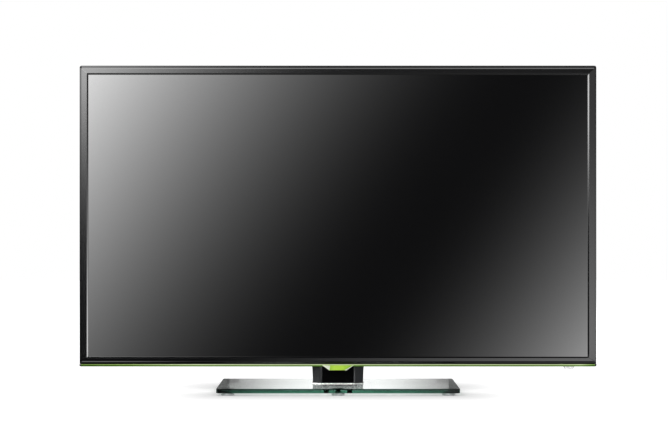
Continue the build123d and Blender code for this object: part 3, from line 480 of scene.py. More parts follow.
@dataclass(frozen=True)
class SheetFinish(ClearSurface):
    """Faces of the glass sheet: clear under the neck, greyer outwards as painted reflection of the
    backdrop, with a dark border at both ends that is a printed border darkened further as painted
    reflection of the backdrop's dark sides.
    """

    name: str = "green_glass"
    shade: Colour = (0.92, 0.98, 0.95)
    inner: Steps = ((0.22, 0.94), (0.5, 0.88), (0.72, 0.58))
    outer: float = 0.34
    rim: float = 0.18
    border: float = 206.0
    fade: float = 0.01
    splay: float = 0.03
    specular: float = 0.04
    half: float = 221.0

    def inputs(self, tree: ShaderTree) -> dict:
        """Write the painted greys outwards from the middle.

        Args:
            tree: Tree of the finish's material.

        Returns:
            Inputs of the main shader, by name.
        """
        # The greys and the slant of the border stand in for the backdrop mirrored in the glass: painted
        # reflection.
        splayed = tree.math("MULTIPLY", tree.axis("Y"), self.splay)
        away = tree.math("SUBTRACT", tree.math("ABSOLUTE", tree.axis("X")), splayed)
        edge = self.border / self.half
        steps = (*self.inner, (edge - self.fade, self.outer), (edge, self.rim))
        grey = tree.greys(tree.shift(away, (0, self.half * MM)), steps)
        return {
            "Base Color": tree.tinted(grey, (*self.shade, 1)),
            "Roughness": tree.smudged(0.0),
            "Specular IOR Level": self.specular,
        }


@dataclass(frozen=True)
class GlassEdgeFinish(ClearSurface):
    """Ground edges of the sheet, green glass with painted shade: deep green at the ends, lighter in the
    middle, dark along the top.
    """

    name: str = "glass_edge"
    shade: Colour = (0.052, 0.195, 0.128)
    ends: Colour = (0.003, 0.010, 0.008)
    shade_shares: Steps = ((0.05, 1.0), (0.35, 0.78), (0.62, 0.6), (0.88, 0.3))
    last: float = 0.92
    top_shade: Steps = ((0.0, 1.0), (0.62, 1.0), (0.85, 0.25))
    heights: Flat = (5.0, 13.0)
    half: float = 221.0
    gloss: Point = (12, 0.02, 0.04)
    specular: float = 0.3

    def inputs(self, tree: ShaderTree) -> dict:
        """Write the greens along the edge, with painted shade towards the ends and along its top.

        Args:
            tree: Tree of the finish's material.

        Returns:
            Inputs of the main shader, by name.
        """
        # Painted shade: darker towards both ends, near black past the last stop, and darker along the top.
        stops = [(place, shaded(self.shade, share)) for place, share in self.shade_shares]
        along = tree.ramp(tree.aside(self.half), stops + [(self.last, self.ends)])
        return {
            "Base Color": tree.tinted(along, tree.greys(tree.along("Z", *self.heights), self.top_shade)),
            "Roughness": tree.sheen(*self.gloss),
            "Specular IOR Level": self.specular,
        }


@dataclass(frozen=True)
class PlateFinish(Surface):
    """Bright foot plate under the dark gasket of the neck."""

    name: str = "chrome"
    metal: Colour = (0.78, 0.77, 0.76)
    gasket: Colour = (0.006, 0.006, 0.006)
    split: Flat = (0.45, 0.49)
    heights: Flat = (13.0, 15.2)
    gloss: Point = (8, 0.14, 0.18)

    def inputs(self, tree: ShaderTree) -> dict:
        """Write the metal with the gasket over it.

        Args:
            tree: Tree of the finish's material.

        Returns:
            Inputs of the main shader, by name.
        """
        height = tree.along("Z", *self.heights)
        return {
            "Base Color": tree.tones(height, self.metal, self.gasket, self.split),
            "Metallic": tree.shift(height, self.split, (1.0, 0.0)),
            "Roughness": tree.sheen(*self.gloss),
        }


@dataclass(frozen=True)
class BoardFinish(Surface):
    """Circuit board: solder mask with copper runs showing through as lines round its cells."""

    mask: Colour
    copper: Colour
    cell: float = 9.0
    runs: float = 6.0
    spread: float = 0.8
    edge: Flat = (0.3, 0.36)
    relief: float = 0.03
    gloss: Point = (15, 0.3, 0.45)

    def inputs(self, tree: ShaderTree) -> dict:
        """Write the raised copper runs.

        Args:
            tree: Tree of the finish's material.

        Returns:
            Inputs of the main shader, by name.
        """
        cells = tree.cells(self.cell, "Distance", self.spread, distance="MANHATTAN")
        lines = tree.math("PINGPONG", tree.math("MULTIPLY", cells, self.runs), 0.5)
        raised = tree.shift(lines, self.edge)
        return {
            "Base Color": tree.tones(raised, self.mask, self.copper),
            "Roughness": tree.sheen(*self.gloss),
            "Normal": tree.bump(raised, self.relief),
        }


@dataclass(frozen=True)
class RibbonFinish(Surface):
    """Flat cable with its conductors showing as fine lines along one axis."""

    name: str = "ribbon_white"
    sheath: Colour = (0.74, 0.74, 0.72)
    wire: Colour = (0.42, 0.42, 0.43)
    pitch: float = 1.0
    edge: Flat = (0.15, 0.4)
    relief: float = 0.08
    roughness: float = 0.42

    def inputs(self, tree: ShaderTree) -> dict:
        """Write the raised conductors.

        Args:
            tree: Tree of the finish's material.

        Returns:
            Inputs of the main shader, by name.
        """
        lines = tree.math("PINGPONG", tree.math("MULTIPLY", tree.axis("X"), 1 / (self.pitch * MM)), 0.5)
        colour = tree.tones(tree.shift(lines, self.edge), self.wire, self.sheath)
        raised = tree.bump(lines, self.relief)
        return {"Base Color": colour, "Roughness": self.roughness, "Normal": raised}


SMOOTH = Grain.SMOOTH
BRUSHED = Grain.BRUSHED

FINISHES = (
    Finish("gloss_black", (0.003, 0.003, 0.0034), 0.08, grain=SMOOTH, grain_depth=0.001),
    Finish("deep_black", (0.0012, 0.0012, 0.0013), 0.3, grain=SMOOTH, grain_depth=0.002, specular=0.01),
    Finish("satin_grey", (0.025, 0.025, 0.028), 0.34, 0.0, SMOOTH, 1.5, 0.004, specular=0.12),
    # Painted highlight: a lighter copy of the shroud's satin grey for its lit inner chamfers.
    Finish("satin_edge_highlight", (0.062, 0.062, 0.066), 0.3, grain=SMOOTH, grain_size=1.5, specular=0.2),
    Finish("textured_black", (0.0165, 0.0165, 0.0175), 0.55, grain_size=0.7, grain_depth=0.05, tone=0.1),
    Finish("black_plastic", (0.02, 0.02, 0.021), 0.5, grain_size=0.6, grain_depth=0.02),
    Finish("key_black", (0.04, 0.04, 0.042), 0.28, grain_size=0.5, grain_depth=0.01),
    Finish("zinc_steel", (0.5, 0.5, 0.5), 0.42, 1.0, Grain.SPANGLE, 9.0, 0.01, 0.12),
    Finish("black_steel", (0.022, 0.022, 0.024), 0.38, 0.6, grain_size=0.8, grain_depth=0.01),
    Finish("bare_aluminium", (0.7, 0.71, 0.71), 0.35, 1.0, BRUSHED, 0.5, 0.01, 0.05),
    Finish("nickel", (0.58, 0.57, 0.54), 0.28, 1.0, BRUSHED, 0.4, 0.006, 0.05),
    Finish("gold_contact", (0.72, 0.47, 0.16), 0.25, 1.0, BRUSHED, 0.3, 0.003, 0.05),
    Finish("led_white", (0.85, 0.85, 0.66), 0.3, 0.0, SMOOTH, 1.0, 0.01),
    Finish("white_film", (0.86, 0.86, 0.86), 0.35, 0.0, SMOOTH, 2.0, 0.004),
    Finish("socket_blue", (0.02, 0.06, 0.3), 0.4, grain_size=0.5, grain_depth=0.01),
    Finish("jack_colour", (0.45, 0.26, 0.02), 0.35, grain_size=0.5, grain_depth=0.01),
    Finish("transformer_yellow", (0.5, 0.36, 0.05), 0.4, 0.0, BRUSHED, 1.0, 0.05),
    Finish("capacitor_sleeve", (0.015, 0.015, 0.04), 0.25, 0.0, SMOOTH, 3.0, 0.01),
    Finish("driver_paper", (0.05, 0.05, 0.05), 0.75, grain_size=1.0, grain_depth=0.08),
    Finish("black_rubber", (0.012, 0.013, 0.013), 0.6, grain_size=0.8, grain_depth=0.03),
    Finish("grey_rubber", (0.66, 0.67, 0.68), 0.4, grain_size=0.9, grain_depth=0.02),
    Finish("clear_lens", (0.97, 0.96, 0.98), 0.12, grain=SMOOTH, grain_size=3.0, clear=0.64),
    ScreenFinish(),
    StripFinish(),
    # Painted light: the badge's colours are set brighter than its own green, to make up for the shade under
    # the bezel.
    GlowFinish("green_badge", (0.60, 0.90, 0.09), (0.36, 0.66, 0.04), 26.0),
    # Painted highlight: the badge's side facets are near white where light catches them.
    GlowFinish("badge_facet_highlight", (0.93, 0.96, 0.74), (0.95, 0.97, 0.80), 30.0),
    GlassFinish("clear_acrylic", (0.9, 0.94, 0.92), 0.02),
    SheetFinish(),
    GlassEdgeFinish(),
    PlateFinish(),
    BoardFinish("circuit_board", (0.008, 0.075, 0.028), (0.03, 0.16, 0.06)),
    BoardFinish("power_board", (0.3, 0.19, 0.075), (0.42, 0.3, 0.15), 14.0),
    RibbonFinish(),
)


class Paintbox:
    """Builds each finish once and hands it out by name."""

    def __init__(self, finishes: Iterable[Surface]) -> None:
        """Keep the finishes by name."""
        self.finishes = {finish.name: finish for finish in finishes}
        self.built: dict[str, Material] = {}

    def get(self, name: str) -> Material:
        """Hand out a finish, building it at its first use.

        Args:
            name: Name of the finish.

        Returns:
            Its material.
        """
        if name not in self.built:
            self.built[name] = self.finishes[name].build()
        return self.built[name]

    def coat(self, mesh: bpy.types.Mesh, *finishes: str) -> None:
        """Give a mesh its finishes.

        Args:
            mesh: Mesh to finish.
            *finishes: Finish names, in the order of the mesh's material numbers.
        """
        mesh.materials.clear()
        for finish in finishes:
            mesh.materials.append(self.get(finish))


PAINT = Paintbox(FINISHES)


# Meshes


def mesh_of(name: str, points: Iterable[Point], faces: Iterable[Sequence[int]] = ()) -> bpy.types.Mesh:
    """Make a mesh.

    Args:
        name: Name of the mesh.
        points: Points in millimetres.
        faces: Corners of each face.

    Returns:
        The new mesh, in metres.
    """
    mesh = bpy.data.meshes.new(name)
    mesh.from_pydata([[value * MM for value in point] for point in points], [], list(faces))
    return mesh


def put(name: str, data: bpy.types.ID) -> bpy.types.Object:
    """Add an object to the scene.

    Args:
        name: Name of the object.
        data: Its mesh, camera or lamp.

    Returns:
        The new object.
    """
    new = bpy.data.objects.new(name, data)
    bpy.context.scene.collection.objects.link(new)
    return new


def clean(mesh: bpy.types.Mesh, flat: bool = False) -> None:
    """Merge doubles, turn the faces outwards and smooth all but the sharp edges.

    Args:
        mesh: Mesh to clean.
        flat: Whether triangles that lie in one plane become one face.
    """
    work = bmesh.new()
    work.from_mesh(mesh)
    bmesh.ops.remove_doubles(work, verts=work.verts, dist=MERGE)
    if flat:
        bmesh.ops.dissolve_limit(work, angle_limit=ONE_PLANE, verts=work.verts, edges=work.edges)
    bmesh.ops.recalc_face_normals(work, faces=work.faces)
    work.to_mesh(mesh)
    work.free()
    mesh.polygons.foreach_set("use_smooth", [True] * len(mesh.polygons))
    mesh.set_sharp_from_angle(angle=SHARP)


def soften(piece: bpy.types.Object, width: float) -> None:
    """Round a piece's sharp edges.

    Args:
        piece: Piece to soften.
        width: Width of the rounding in millimetres, or 0 for none.
    """
    if width:
        bevel = piece.modifiers.new("edges", "BEVEL")
        bevel.width = width * MM
        bevel.segments = 2
        bevel.limit_method = "ANGLE"
        bevel.angle_limit = SHARP
        bevel.harden_normals = True


class Draft:
    """A mesh under construction, in millimetres."""

    def __init__(self) -> None:
        """Start with no points."""
        self.points: list[Point] = []
        self.faces: list[tuple[int, ...]] = []
        self.marks: list[int] = []

    def loop(self, points: Loop) -> list[int]:
        """Add points and return their numbers."""
        self.points.extend(points)
        return list(range(len(self.points) - len(points), len(self.points)))

    def face(self, corners: Sequence[int], mark: int = 0) -> None:
        """Add one face with a material number."""
        self.faces.append(tuple(corners))
        self.marks.append(mark)

    def skin(self, loops: Sequence[Loop], closed: bool = False) -> None:
        """Join equal loops by quads.

        Args:
            loops: Loops with the same number of points, in order.
            closed: Whether the last loop joins the first; if not, both ends are filled.
        """
        rows = [self.loop(loop) for loop in loops]
        for near, far in zip(rows, rows[1:] + rows[:1] if closed else rows[1:]):
            for step in range(len(near)):
                after = (step + 1) % len(near)
                self.face((near[step], near[after], far[after], far[step]))
        if not closed:
            self.face(rows[0][::-1])
            self.face(rows[-1])

    def build(self, name: str, bevel: float, *finishes: str) -> bpy.types.Object:
        """Make the object, in metres, with its faces outwards and its edges softened.

        Args:
            name: Name of the object.
            bevel: Width of the edge rounding in millimetres, or 0 for none.
            *finishes: Finish names, in the order of the material numbers.

        Returns:
            The new object.
        """
        mesh = mesh_of(name, self.points, self.faces)
        PAINT.coat(mesh, *finishes)
        for polygon, mark in zip(mesh.polygons, self.marks):
            polygon.material_index = mark
        clean(mesh)
        new = put(name, mesh)
        soften(new, bevel)
        return new


def rounded(low: Flat, high: Flat, radius: float, steps: int = 8, foot: float | None = None) -> list[Flat]:
    """Points of a rounded rectangle, against the clock.

    Args:
        low: Lower left corner.
        high: Upper right corner.
        radius: Corner radius.
        steps: Segments in each corner.
        foot: Radius of the two lower corners, where it is another one.

    Returns:
        The points in order, with steps + 1 in each corner.
    """
    foot = radius if foot is None else foot
    corners = (
        (high[0] - radius, high[1] - radius, radius),
        (low[0] + radius, high[1] - radius, radius),
        (low[0] + foot, low[1] + foot, foot),
        (high[0] - foot, low[1] + foot, foot),
    )
    points = []
    for quarter, (x, y, size) in enumerate(corners):
        for step in range(steps + 1):
            angle = math.pi / 2 * (quarter + step / steps)
            points.append((x + size * math.cos(angle), y + size * math.sin(angle)))
    return points


def upright(outline: Iterable[Flat], y: float) -> Loop:
    """Stand an outline up at a depth."""
    return [(x, y, z) for x, z in outline]


def twin(node: str, name: str, bevel: float, *finishes: str) -> bpy.types.Object:
    """Copy a CAD node with merged, smoothed faces and soft edges.

    Args:
        node: Name of the CAD node.
        name: Name of the copy.
        bevel: Width of the edge rounding in millimetres.
        *finishes: Finishes of the copy, in the order of its material numbers.

    Returns:
        The copy, ready to stand for the node.
    """
    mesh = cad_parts[node].data.copy()
    mesh.name = name
    PAINT.coat(mesh, *finishes)
    clean(mesh, flat=True)
    new = put(name, mesh)
    soften(new, bevel)
    return new


def settle(piece: bpy.types.Object, slot: str, *nodes: str, body: str = BODY) -> None:
    """Ride a piece on its body, hide the nodes that it stands for and log them.

    Args:
        piece: The finished piece.
        slot: Material slot of the record; not used.
        *nodes: CAD nodes that the piece replaces.
        body: Body that it rides on.
    """
    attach(piece, body)
    if nodes:
        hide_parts(*nodes)
    LOG.info("%s on %s for %s", piece.name, body, ", ".join(nodes) or "nothing")


def stand_in(node: str, name: str, bevel: float, finish: str, slot: str | None = None) -> None:
    """Put a soft-edged copy in a CAD node's place.

    Args:
        node: Name of the CAD node.
        name: Name of the copy.
        bevel: Width of the edge rounding in millimetres.
        finish: Finish of the copy.
        slot: Material slot, where it isn't named like the finish.
    """
    settle(twin(node, name, bevel, finish), slot or finish, node)


def dress(finish: str, *nodes: str) -> None:
    """Give the CAD nodes that stay their finish."""
    for node in nodes:
        PAINT.coat(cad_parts[node].data, finish)


# Geometry Nodes


def metres(**sizes: float) -> dict[str, float]:
    """Turn sizes in millimetres into a recipe's inputs."""
    return {name: size * MM for name, size in sizes.items()}


class Recipe(NodeWriter):
    """A Geometry Nodes tree with named inputs that repeats one small form over points."""

    def __init__(self, name: str, inputs: dict[str, float | Point]) -> None:
        """Start the tree.

        Args:
            name: Name of the tree.
            inputs: Value of each named input, in metres and radians; a triple makes a vector input.
        """
        super().__init__(bpy.data.node_groups.new(name, "GeometryNodeTree"))
        face = self.tree.interface
        face.new_socket(name="Geometry", in_out="INPUT", socket_type="NodeSocketGeometry")
        face.new_socket(name="Geometry", in_out="OUTPUT", socket_type="NodeSocketGeometry")
        self.values: dict[str, float | Point] = {}
        for key, value in inputs.items():
            kind = "NodeSocketVector" if isinstance(value, tuple) else "NodeSocketFloat"
            socket = face.new_socket(name=key, in_out="INPUT", socket_type=kind)
            self.values[socket.identifier] = value
        self.start = self.tree.nodes.new("NodeGroupInput").outputs

    def form(self, kind: str, inputs: dict | None = None, **settings: object) -> Socket:
        """Add a node and return its first output."""
        return self.node(kind, inputs, **settings).outputs[0]

    def times(self, value: object, factor: object) -> Socket:
        """Return the product of two values."""
        return self.math("MULTIPLY", value, factor)

    def vector(self, x: object = 0.0, y: object = 0.0, z: object = 0.0) -> Socket:
        """Join three values to a vector."""
        return self.form("ShaderNodeCombineXYZ", {0: x, 1: y, 2: z})

    def raised(self, geometry: object, height: object) -> Socket:
        """Move a geometry up along Z."""
        inputs = {"Geometry": geometry, "Translation": self.vector(z=height)}
        return self.form("GeometryNodeTransform", inputs)

    def make(
        self, name: str, places: Iterable[Point], form: Socket, finish: str, turn: object = (0, 0, 0),
    ) -> bpy.types.Object:
        """Put the form on every place, realise it and turn the result into a plain mesh object.

        Args:
            name: Name of the object.
            places: Points in millimetres.
            form: Geometry to repeat.
            finish: Name of its finish.
            turn: Turn of each copy, in radians.

        Returns:
            The object with the tree's result as its own mesh.
        """
        points = self.form("GeometryNodeMeshToPoints", {"Mesh": self.start["Geometry"]})
        copies = {"Points": points, "Instance": form, "Rotation": turn}
        placed = self.form("GeometryNodeInstanceOnPoints", copies)
        real = self.form("GeometryNodeRealizeInstances", {0: placed})
        painted = self.form("GeometryNodeSetMaterial", {"Geometry": real, "Material": PAINT.get(finish)})
        self.tree.links.new(painted, self.tree.nodes.new("NodeGroupOutput").inputs[0])
        new = put(name, mesh_of(name, places))
        modifier = new.modifiers.new("recipe", "NODES")
        modifier.node_group = self.tree
        for key, value in self.values.items():
            modifier[key] = value
        graph = bpy.context.evaluated_depsgraph_get()
        result = bpy.data.meshes.new_from_object(new.evaluated_get(graph))
        new.modifiers.clear()
        new.data = result
        clean(result)
        return new


@dataclass(frozen=True)
class Disc:
    """Turned disc with rounded edges and a bore, standing on its place along +Z."""

    kind: str
    finish: str
    radius: float
    soft: float
    bore: float

    def lay(self, name: str, places: Iterable[Point], height: float) -> bpy.types.Object:
        """Lay discs at places.

        Args:
            name: Name of the piece.
            places: Middles of their undersides, in millimetres.
            height: Their height.

        Returns:
            The discs as one piece.
        """
        sizes = metres(Radius=self.radius, Height=height, Round=self.soft, Bore=self.bore)
        recipe = Recipe(self.kind, sizes)
        start = recipe.start
        wall = {"Width": recipe.math("SUBTRACT", start["Radius"], start["Bore"]), "Height": start["Height"]}
        section = recipe.form("GeometryNodeCurvePrimitiveQuadrilateral", wall)
        corners = {"Curve": section, "Radius": start["Round"], "Count": 4}
        section = recipe.form("GeometryNodeFilletCurve", corners, mode="POLY")
        middle = recipe.times(recipe.math("ADD", start["Radius"], start["Bore"]), 0.5)
        ring = recipe.form("GeometryNodeCurvePrimitiveCircle", {"Resolution": 48, "Radius": middle})
        swept = recipe.form("GeometryNodeCurveToMesh", {"Curve": ring, "Profile Curve": section})
        disc = recipe.raised(swept, recipe.times(start["Height"], 0.5))
        return recipe.make(name, places, disc, self.finish)


@dataclass(frozen=True)
class Thread:
    """Thread ridge inside a bore, as a wire wound along +Z and turned to its place."""

    kind: str
    finish: str
    radius: float
    pitch: float
    turns: float
    wire: float
    turn: Point

    def wind(self, name: str, places: Iterable[Point]) -> bpy.types.Object:
        """Wind threads at places.

        Args:
            name: Name of the piece.
            places: Starts of the threads, in millimetres.

        Returns:
            The threads as one piece.
        """
        sizes = metres(Radius=self.radius, Pitch=self.pitch, Wire=self.wire)
        recipe = Recipe(self.kind, {**sizes, "Turns": self.turns, "Turn": self.turn})
        start = recipe.start
        spiral = recipe.form("GeometryNodeCurveSpiral", {
            "Resolution": 20,
            "Rotations": start["Turns"],
            "Start Radius": start["Radius"],
            "End Radius": start["Radius"],
            "Height": recipe.times(start["Pitch"], start["Turns"]),
        })
        wire = recipe.form("GeometryNodeCurvePrimitiveCircle", {"Resolution": 4, "Radius": start["Wire"]})
        sweep = {"Curve": spiral, "Profile Curve": wire, "Fill Caps": True}
        thread = recipe.form("GeometryNodeCurveToMesh", sweep)
        return recipe.make(name, places, thread, self.finish, start["Turn"])


@dataclass(frozen=True)
class Screw:
    """Round screw with a domed head, a cross recess and a plain shank."""

    kind: str
    head: float
    height: float
    dome: float
    cross: float
    shank: float
    turn: Point
    finish: str = "black_steel"
    reach: Flat = (1.15, 1.2)

    def cut_head(self, recipe: Recipe) -> Socket:
        """Head that stands on its place along +Z, domed and cut by its cross.

        Args:
            recipe: Recipe of the screw.

        Returns:
            The head's geometry.
        """
        start = recipe.start
        blank = {"Vertices": 32, "Fill Segments": 4, "Radius": start["Head"], "Depth": start["Height"]}
        head = recipe.form("GeometryNodeMeshCylinder", blank, fill_type="TRIANGLE_FAN")
        place = recipe.form("GeometryNodeInputPosition")
        parts = recipe.node("ShaderNodeSeparateXYZ", {0: place}).outputs
        flat = recipe.vector(parts["X"], parts["Y"])
        away = recipe.node("ShaderNodeVectorMath", {0: flat}, operation="LENGTH").outputs["Value"]
        share = recipe.math("POWER", recipe.math("DIVIDE", away, start["Head"]), 2.0)
        drop = recipe.vector(z=recipe.times(recipe.times(share, start["Dome"]), -1.0))
        upper = recipe.form("FunctionNodeCompare", {0: parts["Z"], 1: 0.0}, operation="GREATER_THAN")
        cut = recipe.form("GeometryNodeSetPosition", {"Geometry": head, "Selection": upper, "Offset": drop})
        cut = recipe.raised(cut, recipe.times(start["Height"], 0.5))
        wide, deep = (recipe.times(start[size], way) for size, way in zip(("Head", "Height"), self.reach))
        for bar in ((wide, start["Cross"]), (start["Cross"], wide)):
            cutter = recipe.form("GeometryNodeMeshCube", {"Size": recipe.vector(*bar, deep)})
            boolean = recipe.node("GeometryNodeMeshBoolean", {"Mesh 1": cut}, operation="DIFFERENCE")
            recipe.tree.links.new(recipe.raised(cutter, start["Height"]), boolean.inputs["Mesh 2"])
            cut = boolean.outputs[0]
        return cut

    def drive(self, name: str, places: Iterable[Point], length: float) -> bpy.types.Object:
        """Set screws at places.

        Args:
            name: Name of the piece.
            places: Undersides of the heads, in millimetres.
            length: Length of the shank below the head.

        Returns:
            The screws as one piece.
        """
        sizes = metres(Head=self.head, Height=self.height, Dome=self.dome, Cross=self.cross,
                       Shank=self.shank, Length=length)
        recipe = Recipe(self.kind, {**sizes, "Turn": self.turn})
        start = recipe.start
        rod = {"Vertices": 16, "Radius": start["Shank"], "Depth": start["Length"]}
        shank = recipe.form("GeometryNodeMeshCylinder", rod)
        shank = recipe.raised(shank, recipe.times(start["Length"], -0.5))
        join = recipe.node("GeometryNodeJoinGeometry")
        for geometry in (self.cut_head(recipe), shank):
            recipe.tree.links.new(geometry, join.inputs[0])
        return recipe.make(name, places, join.outputs[0], self.finish, start["Turn"])


@dataclass(frozen=True)
class Contacts:
    """Rows of contacts in one socket, evenly spaced about their middle."""

    name: str
    middle: Point
    count: int
    pitch: float
    size: Point
    rows: int = 1
    row_pitch: float = 0.0
    stagger: float = 0.0

    def build(self) -> None:
        """Build the contacts as one piece."""
        x, y, z = self.middle
        places = [
            (x + (step - (self.count - 1) / 2) * self.pitch + row % 2 * self.stagger,
             y + (row - (self.rows - 1) / 2) * self.row_pitch, z)
            for row in range(self.rows) for step in range(self.count)
        ]
        recipe = Recipe(self.name, {"Size": tuple(value * MM for value in self.size)})
        bar = recipe.form("GeometryNodeMeshCube", {"Size": recipe.start["Size"]})
        settle(recipe.make(self.name, places, bar, "gold_contact"), "nickel")


# Sub-assemblies


@dataclass(frozen=True)
class Ring:
    """One corner line of the frame's profile, all round the frame: its depth, insets and corner radius."""

    y: float
    sides: float
    top: float
    bottom: float
    corner: float
    cut: float = 0.0

    def towards(self, other: "Ring", share: float) -> "Ring":
        """Ring part of the way to another one."""
        return Ring(*(near + (far - near) * share for near, far in zip(self.values(), other.values())))

    def values(self) -> tuple[float, float, float, float, float]:
        """Depth, insets and corner radius."""
        return self.y, self.sides, self.top, self.bottom, self.corner

    def softened(self, before: "Ring", after: "Ring") -> list["Ring"]:
        """Round the corner line by three rings in its place.

        Args:
            before: Ring before this one along the profile.
            after: Ring after this one.

        Returns:
            The rings that take this one's place.
        """
        if not self.cut:
            return [self]
        ends = []
        for other in (before, after):
            length = math.hypot(other.y - self.y, other.sides - self.sides)
            ends.append(self.towards(other, min(MOST_CUT, self.cut / length)))
        middle = ends[0].towards(ends[1], 0.5).towards(self, 0.5)
        return [ends[0], middle, ends[1]]


@dataclass
class Bezel:
    """Front frame: side walls, bevels all round, a crowned band and a slope down to the screen."""

    box: Span = span("front_bezel")
    lower_corner: float = 1.2

    def profile(self) -> list[Ring]:
        """Profile of the frame.

        Returns:
            The rings from the back edge over the front to the inside.
        """
        (_, front, _), (_, back, _) = self.box
        return [
            Ring(back, 0, 0, 0, 4.0),
            Ring(-11.8, 0, 0, 0, 4.0, 0.15),
            Ring(-13.27, 3.0, 4.5, 2.75, 1.4, 0.1),
            Ring(-13.59, 4.4, 6.3, 4.6, 1.0, 0.1),
            Ring(front, 13.7, 14.0, 10.2, 1.0, 0.06),
            Ring(-12.0, 15.8, 16.8, 12.2, 1.2, 0.06),
            Ring(-10.3, 15.8, 16.8, 12.2, 1.2),
            Ring(-10.3, 13.5, 14.2, 11.3, 1.0),
            Ring(-11.5, 13.5, 14.2, 9.5, 1.0),
            Ring(-11.5, 2, 2, 2, 2.0),
            Ring(back, 2, 2, 2, 2.0),
        ]

    def loop(self, ring: Ring) -> Loop:
        """Points of one ring, drawn in from the frame's outer edges.

        Args:
            ring: Ring of the profile.

        Returns:
            Its points, against the clock as seen from the front.
        """
        (left, _, bottom), (right, _, top) = self.box
        low = (left + ring.sides, bottom + ring.bottom)
        high = (right - ring.sides, top - ring.top)
        outline = rounded(low, high, ring.corner, foot=min(ring.corner, self.lower_corner))
        return upright(outline, ring.y)

    def build(self) -> None:
        """Build the frame, keeping its wide faces flat between their rounded corner lines."""
        profile = self.profile()
        rings = []
        for number, ring in enumerate(profile):
            rings += ring.softened(profile[number - 1], profile[(number + 1) % len(profile)])
        draft = Draft()
        draft.skin([self.loop(ring) for ring in rings], closed=True)
        piece = draft.build("bezel_frame", 0, "gloss_black")
        piece.modifiers.new("flat_faces", "WEIGHTED_NORMAL").keep_sharp = True
        settle(piece, "gloss_black", "front_bezel")


